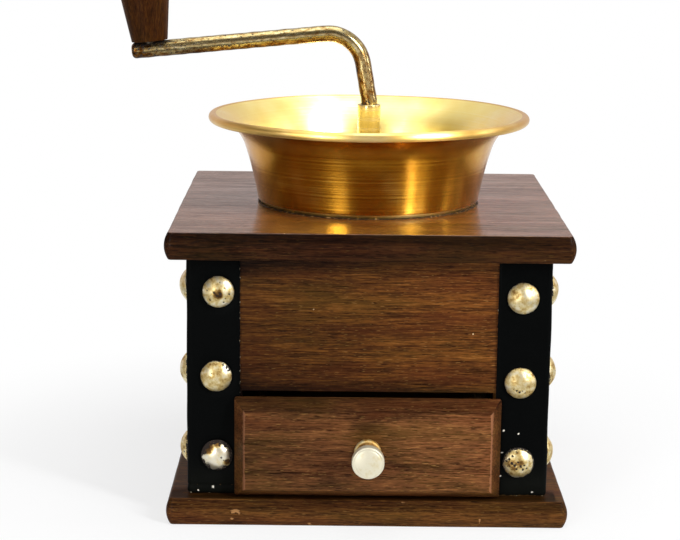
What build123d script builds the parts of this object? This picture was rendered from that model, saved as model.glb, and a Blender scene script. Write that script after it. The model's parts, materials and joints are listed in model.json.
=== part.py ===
from build123d import *
import os
from math import cos, pi, radians, sin, sqrt, tan

# Hand crank coffee grinder: square wooden case with a drawer, spun brass hopper, bent crank and a burr mill.
# Millimetres. Origin at the middle of the base board's underside, +Z up, drawer towards -Y, crank arm to -X.

# Base board and top board
board_side = 140.0
board_thick = 9.5
board_bulge = 1.4
board_corner_round = 1.0

# Wooden case between the boards
case_side = 123.8
case_height = 84.5
panel_thick = 6.0
block_side = 12.0
block_height = 18.0

# Leather corner straps and their nails
strap_leg = 18.6
strap_thick = 1.1
strap_round = 1.2
strap_lift = 0.8
stud_dia = 11.0
stud_height = 3.0
stud_rim = 0.5
stud_shank_dia = 1.6
stud_tip_gap = 0.6
stud_inset = 10.5
stud_low_gap = 13.9
stud_high_gap = 12.4
studs_per_leg = 3

# Drawer
opening_strap_gap = 0.7
opening_height = 37.3
drawer_stud_gap = 0.8
drawer_top_gap = 1.7
drawer_front_thick = 7.2
drawer_front_lift = 0.4
drawer_bevel_width = 3.5
drawer_bevel_depth = 5.6
drawer_box_top_gap = 7.0
drawer_box_back_gap = 5.4
drawer_wall = 4.0
drawer_bottom_thick = 3.0
drawer_clear = 0.3
drawer_side_clear = 0.6
guide_width = 6.0
guide_height = 8.0

# Drawer knob
drawer_knob_dia = 11.1
drawer_knob_length = 13.8
drawer_knob_head_thick = 4.6
drawer_knob_crown = 1.0
drawer_knob_neck_dia = 5.0
drawer_knob_foot_dia = 9.4
drawer_knob_foot_thick = 1.5
drawer_knob_round = 0.6
drawer_knob_screw_depth = 8.0

# Hopper
hopper_wall = 1.0
hopper_neck_dia = 82.0
hopper_wall_lean = 10.0
hopper_waist_dia = 91.4
hopper_waist_height = 21.0
hopper_rim_dia = 118.5
hopper_height = 33.1
hopper_bead_dia = 3.3
hopper_lip_lean = 15.0
hopper_foot_round = 2.5
throat_dia = 48.0
throat_screw_gap = 7.0

# Bridge over the throat and the bearing tube it carries
bridge_length = 72.0
bridge_width = 14.0
bridge_thick = 3.0
boss_dia = 16.0
boss_height = 7.5
boss_round = 1.0
tube_dia = 8.4
tube_stand = 3.0

# Crank
rod_dia = 6.0
crank_rise = 26.9
crank_reach = 80.4
crank_tail = 6.9
crank_stub_lean = 10.0
crank_arm_droop = 5.7
crank_bend_radius = 13.0
crank_neck_radius = 9.0
crank_neck_gap = 1.0
rod_end_round = 1.6

# Crank knob
knob_foot_dia = 13.2
knob_top_dia = 22.6
knob_height = 40.0
knob_crown = 6.5
knob_pin_dia = 4.0
knob_pin_head_dia = 7.0
knob_pin_head_thick = 1.8
knob_sink_gap = 0.7
knob_sink_depth = 3.0
knob_foot_gap = 0.15

# Burrs
flange_dia = 82.0
flange_thick = 4.0
flange_screw_edge = 4.0
burr_body_dia = 50.0
burr_mouth_dia = 42.0
feed_length = 16.0
grind_length = 6.0
inner_burr_top_dia = 16.0
inner_burr_waist_dia = 26.0
inner_burr_foot_dia = 34.0
inner_burr_drop = 2.0
burr_gap = 0.72
burr_grooves = 14
groove_size = 2.6
inner_groove_stand = 0.65
drive_pin_dia = 2.0
drive_pin_length = 16.0
drive_pin_drop = 4.0

# Spring that presses the inner burr down, and its washers
spring_wire_dia = 1.2
spring_mean_dia = 10.0
spring_turns = 4
washer_dia = 18.0
washer_thick = 0.8

# Bracket, adjusting screw and thrust ball under the burrs
bracket_thick = 3.0
bracket_width = 14.0
bracket_leg_gap = 1.5
bracket_depth = 36.0
bracket_boss_dia = 18.0
bracket_boss_up = 4.0
bracket_boss_down = 3.0
adjuster_dia = 10.0
adjuster_head_gap = 1.0
adjuster_head_dia = 18.0
adjuster_head_thick = 4.0
adjuster_notches = 12
adjuster_notch_dia = 2.4
adjuster_top_drop = 4.0
socket_depth = 8.0
ball_dia = 5.0

# Wood screws
screw_dia = 3.0
screw_head_dia = 6.0
screw_head_height = 1.8
screw_slot_width = 0.8
screw_slot_depth = 0.8
screw_tip_gap = 0.5
base_screw_length = 22.0
base_screw_head_dia = 7.0
base_screw_spread = 70.0
base_screw_sink = 0.3

# Clearances
fit_clear = 0.05
touch_clear = 0.1

# Places worked out from the sizes above
base_top = board_thick
case_top = base_top + case_height
hopper_seat = case_top + board_thick
case_half = case_side / 2
strap_half = case_half + strap_thick
cavity_half = case_half - panel_thick
hopper_floor_top = hopper_seat + hopper_wall
rim_top = hopper_seat + hopper_height
tube_top = rim_top + tube_stand
stud_across = strap_half - stud_inset
stud_low = base_top + stud_low_gap
stud_high = case_top - stud_high_gap
stud_step = (stud_high - stud_low) / (studs_per_leg - 1)
stud_levels = [stud_low + i * stud_step for i in range(studs_per_leg)]
stud_shank_length = strap_thick + panel_thick - stud_tip_gap
opening_width = case_side - 2 * (strap_leg - strap_thick + opening_strap_gap)
drawer_front_width = 2 * (stud_across - stud_dia / 2 - drawer_stud_gap)
drawer_front_height = opening_height - drawer_front_lift - drawer_top_gap
drawer_box_height = opening_height - drawer_clear - drawer_box_top_gap
pilot_radius = stud_shank_dia / 2 + fit_clear
screw_hole_radius = screw_dia / 2 + fit_clear
screw_bite = (board_thick - screw_tip_gap) / 2
rod_radius = rod_dia / 2
running_radius = rod_radius + fit_clear


def save(shape, name):
    shape.label = name
    export_step(shape, f"parts/{name}.step")


def cap_radius(half_width, rise):
    # Radius of the sphere whose cap has this half width and rise.
    return (half_width ** 2 + rise ** 2) / (2 * rise)


def make_board(bottom):
    # The edges bulge in an arc on all four sides, so the board is where two bulged slabs cross.
    flat_half = board_side / 2 - board_bulge
    middle = bottom + board_thick / 2
    top = bottom + board_thick
    with BuildPart() as board:
        for plane, mode in ((Plane.XZ, Mode.ADD), (Plane.YZ, Mode.INTERSECT)):
            with BuildSketch(plane):
                with BuildLine():
                    Line((-flat_half, bottom), (flat_half, bottom))
                    ThreePointArc((flat_half, bottom), (board_side / 2, middle), (flat_half, top))
                    Line((flat_half, top), (-flat_half, top))
                    ThreePointArc((-flat_half, top), (-board_side / 2, middle), (-flat_half, bottom))
                make_face()
            extrude(amount=board_side / 2, both=True, mode=mode)
        corners = board.edges().filter_by(
            lambda e: min(abs(e.center().X), abs(e.center().Y)) > flat_half
        )
        fillet(corners, board_corner_round)
    return board.part


def make_round_screw(length):
    # The underside of the head is at zero and the shank points down.
    with BuildPart() as screw:
        with BuildSketch():
            Circle(screw_head_dia / 2)
        extrude(amount=screw_head_height)
        fillet(screw.faces().sort_by(Axis.Z)[-1].edges(), screw_head_height - screw_slot_depth)
        with BuildSketch(Plane.XY.offset(screw_head_height - screw_slot_depth)):
            Rectangle(screw_head_dia, screw_slot_width)
        extrude(amount=screw_slot_depth, mode=Mode.SUBTRACT)
        with BuildSketch():
            Circle(screw_dia / 2)
        extrude(amount=-length)
    return screw.part


def make_screw_set(length, places):
    with BuildPart() as screws:
        with Locations(*places):
            add(make_round_screw(length))
    return screws.part


os.makedirs("parts", exist_ok=True)

# Base board with four countersunk holes for the screws into the side panels
base_screw_across = case_half - panel_thick / 2
base_screw_places = [
    (x, y, base_screw_sink)
    for x in (-base_screw_across, base_screw_across)
    for y in (-base_screw_spread / 2, base_screw_spread / 2)
]
base_sink_depth = (base_screw_head_dia - screw_dia) / 2
with BuildPart() as base_board:
    add(make_board(0))
    with Locations(*[Location((x, y, 0), (180, 0, 0)) for x, y, _ in base_screw_places]):
        Cylinder(screw_hole_radius, 2 * board_thick + 2 * touch_clear, mode=Mode.SUBTRACT)
        with Locations((0, 0, -base_screw_sink)):
            Cone(
                screw_hole_radius,
                base_screw_head_dia / 2 + fit_clear,
                base_sink_depth,
                align=(Align.CENTER, Align.CENTER, Align.MAX),
                mode=Mode.SUBTRACT,
            )
        Cylinder(
            base_screw_head_dia / 2 + fit_clear,
            base_screw_sink,
            align=(Align.CENTER, Align.CENTER, Align.MAX),
            mode=Mode.SUBTRACT,
        )
save(base_board.part, "base_board")

with BuildPart() as base_screw:
    with BuildSketch():
        Circle(screw_dia / 2)
    extrude(amount=base_screw_length - base_screw_sink)
    Cone(
        base_screw_head_dia / 2,
        screw_dia / 2,
        base_sink_depth,
        align=(Align.CENTER, Align.CENTER, Align.MIN),
    )
    with BuildSketch():
        Rectangle(base_screw_head_dia, screw_slot_width)
    extrude(amount=screw_slot_depth, mode=Mode.SUBTRACT)
with BuildPart() as base_screws:
    with Locations(*base_screw_places):
        add(base_screw.part)
save(base_screws.part, "base_screws")

# Screw places round the throat: two rings, one driven from above and one from below
screw_ring = throat_dia / 2 + throat_screw_gap
flange_ring = flange_dia / 2 - flange_screw_edge
hopper_screw_places = [(0, -screw_ring, hopper_floor_top), (0, screw_ring, hopper_floor_top)]
bridge_top = hopper_floor_top + bridge_thick
bridge_screw_places = [(-screw_ring, 0, bridge_top), (screw_ring, 0, bridge_top)]
flange_bottom = case_top - flange_thick
foot_bottom = flange_bottom - bracket_thick
mill_screw_places = [Location((0, y, flange_bottom), (180, 0, 0)) for y in (-flange_ring, flange_ring)]
bracket_screw_places = [Location((x, 0, foot_bottom), (180, 0, 0)) for x in (-flange_ring, flange_ring)]

# Top board with the throat and the blind holes of the screws
with BuildPart() as top_board:
    add(make_board(case_top))
    with BuildSketch(Plane.XY.offset(case_top)):
        Circle(throat_dia / 2)
    extrude(amount=board_thick, mode=Mode.SUBTRACT)
    with BuildSketch(Plane.XY.offset(hopper_seat)):
        with PolarLocations(screw_ring, 4):
            Circle(screw_hole_radius)
    extrude(amount=-screw_bite - touch_clear, mode=Mode.SUBTRACT)
    with BuildSketch(Plane.XY.offset(case_top)):
        with PolarLocations(flange_ring, 4):
            Circle(screw_hole_radius)
    extrude(amount=screw_bite + touch_clear, mode=Mode.SUBTRACT)
save(top_board.part, "top_board")

# Case panels, with the nail holes of the studs
panel_level = base_top + case_height / 2
panel_faces = {
    "front": Plane(origin=(0, -case_half, 0), x_dir=(1, 0, 0), z_dir=(0, -1, 0)),
    "back": Plane(origin=(0, case_half, 0), x_dir=(-1, 0, 0), z_dir=(0, 1, 0)),
    "side_left": Plane(origin=(-case_half, 0, 0), x_dir=(0, -1, 0), z_dir=(-1, 0, 0)),
    "side_right": Plane(origin=(case_half, 0, 0), x_dir=(0, 1, 0), z_dir=(1, 0, 0)),
}
panel_names = {
    "front": "front_panel",
    "back": "back_panel",
    "side_left": "side_panel_left",
    "side_right": "side_panel_right",
}
stud_spots = [(x, z) for x in (-stud_across, stud_across) for z in stud_levels]
nail_depth = stud_shank_length - strap_thick + touch_clear
for side, face in panel_faces.items():
    panel_width = case_side if side in ("front", "back") else 2 * cavity_half
    with BuildPart() as panel:
        with BuildSketch(face):
            with Locations((0, panel_level)):
                Rectangle(panel_width, case_height)
            if side == "front":
                with Locations((0, base_top)):
                    Rectangle(
                        opening_width,
                        opening_height,
                        align=(Align.CENTER, Align.MIN),
                        mode=Mode.SUBTRACT,
                    )
        extrude(amount=-panel_thick)
        with BuildSketch(face):
            with Locations(*stud_spots):
                Circle(pilot_radius)
        extrude(amount=-nail_depth, mode=Mode.SUBTRACT)
        if side.startswith("side"):
            with Locations(*[(x, y, base_top) for x, y, _ in base_screw_places]):
                Cylinder(
                    screw_hole_radius,
                    base_screw_length - base_top + touch_clear,
                    align=(Align.CENTER, Align.CENTER, Align.MIN),
                    mode=Mode.SUBTRACT,
                )
    save(panel.part, panel_names[side])

# Glue blocks in the upper corners of the case
block_across = cavity_half - block_side / 2
with BuildPart() as corner_blocks:
    with BuildSketch(Plane.XY.offset(case_top)):
        with GridLocations(2 * block_across, 2 * block_across, 2, 2):
            Rectangle(block_side, block_side)
    extrude(amount=-block_height)
save(corner_blocks.part, "corner_blocks")

# Leather straps, each folded round one upright corner of the case
strap_bottom = base_top + strap_lift
for depth_name, depth_sign in (("front", -1), ("back", 1)):
    for side_name, side_sign in (("left", -1), ("right", 1)):
        corner = (side_sign * strap_half, depth_sign * strap_half)
        x_end = side_sign * (strap_half - strap_leg)
        y_end = depth_sign * (strap_half - strap_leg)
        with BuildPart() as strap:
            with BuildSketch(Plane.XY.offset(strap_bottom)):
                with BuildLine():
                    FilletPolyline((x_end, corner[1]), corner, (corner[0], y_end), radius=strap_round)
                    Line((corner[0], y_end), (side_sign * case_half, y_end))
                    Polyline(
                        (side_sign * case_half, y_end),
                        (side_sign * case_half, depth_sign * case_half),
                        (x_end, depth_sign * case_half),
                        (x_end, corner[1]),
                    )
                make_face()
            extrude(amount=case_top - strap_bottom)
            for face in panel_faces.values():
                with BuildSketch(face.offset(strap_thick)):
                    with Locations(*stud_spots):
                        Circle(pilot_radius)
                extrude(amount=-strap_thick, mode=Mode.SUBTRACT)
        save(strap.part, f"corner_strap_{depth_name}_{side_name}")

# Domed studs: a shallow cap with a short straight rim on a nail
dome_height = stud_height - stud_rim
with BuildPart() as stud:
    with BuildSketch(Plane.XZ):
        with BuildLine():
            Polyline((0, 0), (stud_dia / 2, 0), (stud_dia / 2, stud_rim))
            RadiusArc((stud_dia / 2, stud_rim), (0, stud_height), -cap_radius(stud_dia / 2, dome_height))
            Line((0, stud_height), (0, 0))
        make_face()
    revolve(axis=Axis.Z)
    with BuildSketch():
        Circle(stud_shank_dia / 2)
    extrude(amount=-stud_shank_length)
stud_places = [
    face.offset(strap_thick).location * Location((x, z, 0))
    for face in panel_faces.values()
    for x, z in stud_spots
]
with BuildPart() as strap_studs:
    with Locations(*stud_places):
        add(stud.part)
save(strap_studs.part, "strap_studs")

# Guide strips on the base, one each side of the drawer
drawer_box_half = opening_width / 2 - drawer_side_clear
guide_inner = drawer_box_half + drawer_clear
for side_name, side_sign in (("left", -1), ("right", 1)):
    with BuildPart() as guide:
        with BuildSketch(Plane.XY.offset(base_top)):
            with Locations((side_sign * (guide_inner + guide_width / 2), 0)):
                Rectangle(guide_width, 2 * cavity_half)
        extrude(amount=guide_height)
    save(guide.part, f"drawer_guide_{side_name}")

# Drawer front: a board with a steep bevel all round its face
front_back_y = -strap_half - drawer_clear
front_face_y = front_back_y - drawer_front_thick
front_bottom = base_top + drawer_front_lift
front_middle = front_bottom + drawer_front_height / 2
knob_face = Plane(origin=(0, front_face_y, front_middle), x_dir=(1, 0, 0), z_dir=(0, -1, 0))
front_land = drawer_front_thick - drawer_bevel_depth
with BuildPart() as drawer_front:
    with BuildSketch(knob_face.offset(-drawer_front_thick)):
        Rectangle(drawer_front_width, drawer_front_height)
    extrude(amount=front_land)
    with BuildSketch(knob_face.offset(-drawer_bevel_depth)):
        Rectangle(drawer_front_width, drawer_front_height)
    with BuildSketch(knob_face):
        Rectangle(drawer_front_width - 2 * drawer_bevel_width, drawer_front_height - 2 * drawer_bevel_width)
    loft()
    with BuildSketch(knob_face):
        Circle(screw_hole_radius)
    extrude(amount=-drawer_front_thick, mode=Mode.SUBTRACT)
save(drawer_front.part, "drawer_front")

# Drawer box behind the front
box_bottom = base_top + drawer_clear
box_back_y = cavity_half - drawer_box_back_gap
drawer_box_depth = box_back_y - front_back_y
for side_name, side_sign in (("left", -1), ("right", 1)):
    with BuildPart() as drawer_side:
        with BuildSketch(Plane.XY.offset(box_bottom)):
            with Locations((side_sign * (drawer_box_half - drawer_wall / 2), front_back_y)):
                Rectangle(drawer_wall, drawer_box_depth, align=(Align.CENTER, Align.MIN))
        extrude(amount=drawer_box_height)
    save(drawer_side.part, f"drawer_side_{side_name}")

tray_width = 2 * (drawer_box_half - drawer_wall)
with BuildPart() as drawer_back:
    with BuildSketch(Plane.XY.offset(box_bottom)):
        with Locations((0, box_back_y)):
            Rectangle(tray_width, drawer_wall, align=(Align.CENTER, Align.MAX))
    extrude(amount=drawer_box_height)
save(drawer_back.part, "drawer_back")

with BuildPart() as drawer_bottom:
    with BuildSketch(Plane.XY.offset(box_bottom)):
        with Locations((0, front_back_y)):
            Rectangle(tray_width, drawer_box_depth - drawer_wall, align=(Align.CENTER, Align.MIN))
    extrude(amount=drawer_bottom_thick)
save(drawer_bottom.part, "drawer_bottom")

# Turned drawer knob: foot, waisted neck and a slightly crowned head
head_radius = drawer_knob_dia / 2
neck_radius = drawer_knob_neck_dia / 2
foot_radius = drawer_knob_foot_dia / 2
head_back = drawer_knob_length - drawer_knob_head_thick
head_edge = drawer_knob_length - drawer_knob_crown
knob_profile = Plane(origin=knob_face.origin, x_dir=(1, 0, 0), z_dir=(0, 0, 1))
with BuildPart() as drawer_knob:
    with BuildSketch(knob_profile):
        with BuildLine():
            Polyline((0, 0), (foot_radius, 0), (foot_radius, -drawer_knob_foot_thick))
            ThreePointArc(
                (foot_radius, -drawer_knob_foot_thick),
                (neck_radius, -(drawer_knob_foot_thick + head_back) / 2),
                (head_radius, -head_back),
            )
            Line((head_radius, -head_back), (head_radius, -head_edge))
            RadiusArc(
                (head_radius, -head_edge),
                (0, -drawer_knob_length),
                cap_radius(head_radius, drawer_knob_crown),
            )
            Line((0, -drawer_knob_length), (0, 0))
        make_face()
    revolve(axis=Axis(knob_face.origin, (0, -1, 0)))
    circles = drawer_knob.edges().filter_by(GeomType.CIRCLE)
    fillet(circles.filter_by(lambda e: abs(e.radius - head_radius) < fit_clear), drawer_knob_round)
    with BuildSketch(knob_face):
        Circle(screw_hole_radius)
    extrude(amount=drawer_knob_screw_depth + touch_clear, mode=Mode.SUBTRACT)
save(drawer_knob.part, "drawer_knob")

drawer_screw_place = Location((0, front_back_y, front_middle), (-90, 0, 0))
save(
    make_screw_set(drawer_front_thick + drawer_knob_screw_depth, [drawer_screw_place]),
    "drawer_knob_screw",
)

# Hopper: a spun bowl with a flat floor and a trumpet wall, whose lip rolls over and down
neck = hopper_neck_dia / 2
wall_lean = radians(hopper_wall_lean)
lip_lean = radians(hopper_lip_lean)
bead_radius = hopper_bead_dia / 2
bead_across = hopper_rim_dia / 2 - bead_radius
bead_level = rim_top - bead_radius
lip_inset = bead_radius - hopper_wall
lip_spot = (bead_across - lip_inset * sin(lip_lean), bead_level + lip_inset * cos(lip_lean))
foot_spot = (neck - hopper_foot_round * cos(wall_lean), hopper_seat)
neck_spot = (neck, hopper_seat + hopper_foot_round * (1 - sin(wall_lean)))
with BuildPart() as hopper:
    with BuildSketch(Plane.XZ):
        with BuildLine():
            Line((throat_dia / 2, hopper_seat), foot_spot)
            TangentArc(foot_spot, neck_spot, tangent=(1, 0))
            wall = TangentArc(
                neck_spot,
                (hopper_waist_dia / 2, hopper_seat + hopper_waist_height),
                tangent=(sin(wall_lean), cos(wall_lean)),
            )
            TangentArc(wall @ 1, lip_spot, tangent=wall % 1)
            offset(amount=hopper_wall, side=Side.LEFT)
        make_face()
        with Locations((bead_across, bead_level)):
            Circle(bead_radius)
    revolve(axis=Axis.Z)
    with BuildSketch(Plane.XY.offset(hopper_seat)):
        with PolarLocations(screw_ring, 4):
            Circle(screw_hole_radius)
    extrude(amount=hopper_wall, mode=Mode.SUBTRACT)
save(hopper.part, "hopper")
save(make_screw_set(hopper_wall + screw_bite, hopper_screw_places), "hopper_screws")

# Bridge across the throat, with a boss that holds the bearing tube
with BuildPart() as bridge:
    with BuildSketch(Plane.XY.offset(hopper_floor_top)):
        SlotOverall(bridge_length, bridge_width)
        with PolarLocations(screw_ring, 2):
            Circle(screw_hole_radius, mode=Mode.SUBTRACT)
    extrude(amount=bridge_thick)
    with BuildSketch(Plane.XY.offset(hopper_floor_top)):
        Circle(boss_dia / 2)
    extrude(amount=boss_height)
    fillet(bridge.faces().sort_by(Axis.Z)[-1].edges(), boss_round)
    with BuildSketch(Plane.XY.offset(hopper_floor_top)):
        Circle(tube_dia / 2)
    extrude(amount=boss_height, mode=Mode.SUBTRACT)
save(bridge.part, "bridge")
save(make_screw_set(bridge_thick + hopper_wall + screw_bite, bridge_screw_places), "bridge_screws")

with BuildPart() as bearing_tube:
    with BuildSketch(Plane.XY.offset(hopper_floor_top)):
        Circle(tube_dia / 2)
        Circle(running_radius, mode=Mode.SUBTRACT)
    extrude(amount=tube_top - hopper_floor_top)
save(bearing_tube.part, "bearing_tube")

# Burrs: the bore narrows to a waist and opens again, and the inner burr's foot is parallel to it
waist_level = case_top - feed_length
burr_bottom = waist_level - grind_length
waist_radius = inner_burr_waist_dia / 2 + burr_gap
foot_bore_radius = inner_burr_foot_dia / 2 + burr_gap
groove_radius = groove_size / 2
with BuildPart() as outer_burr:
    with BuildSketch(Plane.XZ):
        with BuildLine():
            Polyline(
                (burr_mouth_dia / 2, case_top),
                (flange_dia / 2, case_top),
                (flange_dia / 2, flange_bottom),
                (burr_body_dia / 2, flange_bottom),
                (burr_body_dia / 2, burr_bottom),
                (foot_bore_radius, burr_bottom),
                (waist_radius, waist_level),
                close=True,
            )
        make_face()
    revolve(axis=Axis.Z)
    with BuildSketch(Plane.XY.offset(flange_bottom)):
        with PolarLocations(flange_ring, 4):
            Circle(screw_hole_radius)
    extrude(amount=flange_thick, mode=Mode.SUBTRACT)
    with PolarLocations(0, burr_grooves):
        with Locations(Location((waist_radius, 0, waist_level), (0, 0, 0))):
            Cylinder(groove_radius, 2 * (feed_length + grind_length), mode=Mode.SUBTRACT)
save(outer_burr.part, "outer_burr")
save(make_screw_set(flange_thick + screw_bite, mill_screw_places), "mill_screws")

inner_burr_top = case_top - inner_burr_drop
pin_level = inner_burr_top - drive_pin_drop
with BuildPart() as inner_burr:
    with BuildSketch(Plane.XZ):
        with BuildLine():
            Polyline(
                (rod_radius, inner_burr_top),
                (inner_burr_top_dia / 2, inner_burr_top),
                (inner_burr_waist_dia / 2, waist_level),
                (inner_burr_foot_dia / 2, burr_bottom),
                (rod_radius, burr_bottom),
                close=True,
            )
        make_face()
    revolve(axis=Axis.Z)
    groove_across = inner_burr_waist_dia / 2 + inner_groove_stand
    with PolarLocations(groove_across, burr_grooves, start_angle=180 / burr_grooves):
        with Locations((0, 0, waist_level)):
            Cylinder(groove_radius, 2 * (feed_length + grind_length), mode=Mode.SUBTRACT)
    with Locations(Location((0, 0, pin_level), (90, 0, 0))):
        Cylinder(drive_pin_dia / 2 + fit_clear, inner_burr_waist_dia, mode=Mode.SUBTRACT)
save(inner_burr.part, "inner_burr")

with BuildPart() as drive_pin:
    with Locations(Location((0, 0, pin_level), (90, 0, 0))):
        Cylinder(drive_pin_dia / 2, drive_pin_length)
save(drive_pin.part, "drive_pin")

# Spring washers: one under the bridge, one on the inner burr
upper_washer_bottom = hopper_floor_top - washer_thick
lower_washer_top = inner_burr_top + washer_thick
for name, bottom in (("upper_spring_washer", upper_washer_bottom), ("lower_spring_washer", inner_burr_top)):
    with BuildPart() as washer:
        with BuildSketch(Plane.XY.offset(bottom)):
            Circle(washer_dia / 2)
            Circle(rod_radius + touch_clear, mode=Mode.SUBTRACT)
        extrude(amount=washer_thick)
    save(washer.part, name)

# Spring: one wire whose quarter turns are pairs of arcs that share their tangents
spring_low = lower_washer_top + touch_clear + spring_wire_dia / 2
spring_high = upper_washer_bottom - touch_clear - spring_wire_dia / 2
spring_pitch = (spring_high - spring_low) / spring_turns
spring_radius = spring_mean_dia / 2
quarter_turns = 4 * spring_turns


def spring_point(quarter):
    turn = quarter * pi / 2
    level = spring_low + spring_pitch * quarter / 4
    return Vector(spring_radius * cos(turn), spring_radius * sin(turn), level)


def spring_tangent(quarter):
    turn = quarter * pi / 2
    return Vector(-spring_radius * sin(turn), spring_radius * cos(turn), spring_pitch / (2 * pi)).normalized()


with BuildPart() as burr_spring:
    with BuildLine() as coil:
        for quarter in range(quarter_turns):
            start = spring_point(quarter)
            end = spring_point(quarter + 1)
            leave = spring_tangent(quarter)
            arrive = spring_tangent(quarter + 1)
            chord = end - start
            along = chord.dot(leave + arrive)
            spread = 2 * (1 - leave.dot(arrive))
            reach = (-along + (along ** 2 + spread * chord.dot(chord)) ** 0.5) / spread
            middle = (start + leave * reach + end - arrive * reach) / 2
            first = TangentArc(start, middle, tangent=leave)
            TangentArc(middle, end, tangent=first % 1)
    with BuildSketch(Plane(origin=spring_point(0), z_dir=spring_tangent(0))):
        Circle(spring_wire_dia / 2)
    sweep(path=coil.wires()[0])
save(burr_spring.part, "burr_spring")
print(f"gap between spring turns {spring_pitch - spring_wire_dia:.2f}")

# Bracket hung under the flange, with a boss for the adjusting screw
leg_inner = burr_body_dia / 2 + bracket_leg_gap
bar_bottom = foot_bottom + bracket_thick - bracket_depth
bar_top = bar_bottom + bracket_thick
boss_bottom = bar_bottom - bracket_boss_down
boss_top = bar_top + bracket_boss_up
foot_end = flange_dia / 2
with BuildPart() as burr_bracket:
    with BuildSketch(Plane.XZ):
        with BuildLine():
            Polyline(
                (-foot_end, flange_bottom),
                (-leg_inner, flange_bottom),
                (-leg_inner, bar_top),
                (leg_inner, bar_top),
                (leg_inner, flange_bottom),
                (foot_end, flange_bottom),
            )
            offset(amount=bracket_thick, side=Side.RIGHT, kind=Kind.INTERSECTION)
        make_face()
    extrude(amount=bracket_width / 2, both=True)
    with BuildSketch(Plane.XY.offset(boss_bottom)):
        Circle(bracket_boss_dia / 2)
    extrude(amount=boss_top - boss_bottom)
    with BuildSketch(Plane.XY.offset(boss_bottom)):
        Circle(adjuster_dia / 2 + fit_clear)
    extrude(amount=boss_top - boss_bottom, mode=Mode.SUBTRACT)
    with BuildSketch(Plane.XY.offset(foot_bottom)):
        with PolarLocations(flange_ring, 2):
            Circle(screw_hole_radius)
    extrude(amount=bracket_thick, mode=Mode.SUBTRACT)
save(burr_bracket.part, "burr_bracket")
save(make_screw_set(bracket_thick + flange_thick + screw_bite, bracket_screw_places), "bracket_screws")

# Adjusting screw: a notched thumb head, and a socket on top that guides the crank rod's lower end
adjuster_top = burr_bottom - adjuster_top_drop
adjuster_neck = boss_bottom - adjuster_head_gap
adjuster_length = adjuster_top - adjuster_neck
socket_bottom = adjuster_top - socket_depth
with BuildPart() as adjusting_screw:
    with BuildSketch(Plane.XY.offset(adjuster_neck)):
        Circle(adjuster_dia / 2)
    extrude(amount=adjuster_length)
    with BuildSketch(Plane.XY.offset(adjuster_neck)):
        Circle(adjuster_head_dia / 2)
        with PolarLocations(adjuster_head_dia / 2, adjuster_notches):
            Circle(adjuster_notch_dia / 2, mode=Mode.SUBTRACT)
    extrude(amount=-adjuster_head_thick)
    with BuildSketch(Plane.XY.offset(socket_bottom)):
        Circle(running_radius)
    extrude(amount=socket_depth, mode=Mode.SUBTRACT)
save(adjusting_screw.part, "adjusting_screw")

ball_bottom = socket_bottom + touch_clear / 2
with BuildPart() as thrust_ball:
    with Locations((0, 0, ball_bottom + ball_dia / 2)):
        Sphere(ball_dia / 2)
save(thrust_ball.part, "thrust_ball")

# Crank: one bent rod from the thrust ball up through the tube, over to the knob
rod_bottom = ball_bottom + ball_dia + touch_clear / 2
lean = radians(crank_stub_lean)
droop = radians(crank_arm_droop)
neck_level = tube_top + crank_neck_gap
corner_level = tube_top + crank_rise
corner_across = -(corner_level - neck_level) * tan(lean)
arm_length = (crank_reach + corner_across) / cos(droop)
knob_axis = Vector(-sin(droop), 0, cos(droop))
arm_axis = Vector(-cos(droop), 0, -sin(droop))
arm_corner = Vector(corner_across, 0, corner_level)
knob_spot = arm_corner + arm_axis * arm_length
rod_end = knob_spot + arm_axis * crank_tail
knob_plane = Plane(origin=knob_spot, x_dir=arm_axis * -1, z_dir=knob_axis)
with BuildPart() as crank_rod:
    with BuildLine() as rod_path:
        FilletPolyline(
            (0, 0, rod_bottom),
            (0, 0, neck_level),
            arm_corner,
            rod_end,
            radius=[crank_neck_radius, crank_bend_radius],
        )
    with BuildSketch(Plane.XY.offset(rod_bottom)):
        Circle(rod_radius)
    sweep(path=rod_path.wires()[0])
    fillet(crank_rod.faces().sort_by(Axis.X)[0].edges(), rod_end_round)
    with BuildSketch(knob_plane):
        Circle(knob_pin_dia / 2 + fit_clear)
    extrude(amount=rod_dia, both=True, mode=Mode.SUBTRACT)
    with Locations(Location((0, 0, pin_level), (90, 0, 0))):
        Cylinder(drive_pin_dia / 2 + fit_clear, rod_dia, mode=Mode.SUBTRACT)
save(crank_rod.part, "crank_rod")

# Crank knob and its pin, which is peened flush with the underside of the rod
knob_foot_level = rod_radius + knob_foot_gap
knob_top_level = knob_foot_level + knob_height
sink_level = knob_top_level - knob_sink_depth
knob_bore = knob_pin_dia / 2 + fit_clear
sink_radius = knob_pin_head_dia / 2 + knob_sink_gap
shoulder_level = knob_top_level - knob_crown
with BuildPart() as crank_knob:
    with BuildSketch(Plane(origin=knob_spot, x_dir=arm_axis * -1, z_dir=(0, -1, 0))):
        with BuildLine():
            Polyline(
                (0, knob_foot_level),
                (knob_foot_dia / 2, knob_foot_level),
                (knob_top_dia / 2, shoulder_level),
            )
            ThreePointArc(
                (knob_top_dia / 2, shoulder_level),
                (knob_top_dia / 2 * cos(pi / 4), shoulder_level + knob_crown * sin(pi / 4)),
                (sink_radius, knob_top_level),
            )
            Polyline((sink_radius, knob_top_level), (0, knob_top_level), (0, knob_foot_level))
        make_face()
    revolve(axis=Axis(knob_spot, knob_axis))
    with BuildSketch(knob_plane.offset(knob_top_level)):
        Circle(sink_radius)
    extrude(amount=-knob_sink_depth, mode=Mode.SUBTRACT)
    with BuildSketch(knob_plane.offset(knob_foot_level)):
        Circle(knob_bore)
    extrude(amount=knob_height, mode=Mode.SUBTRACT)
save(crank_knob.part, "crank_knob")

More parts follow.
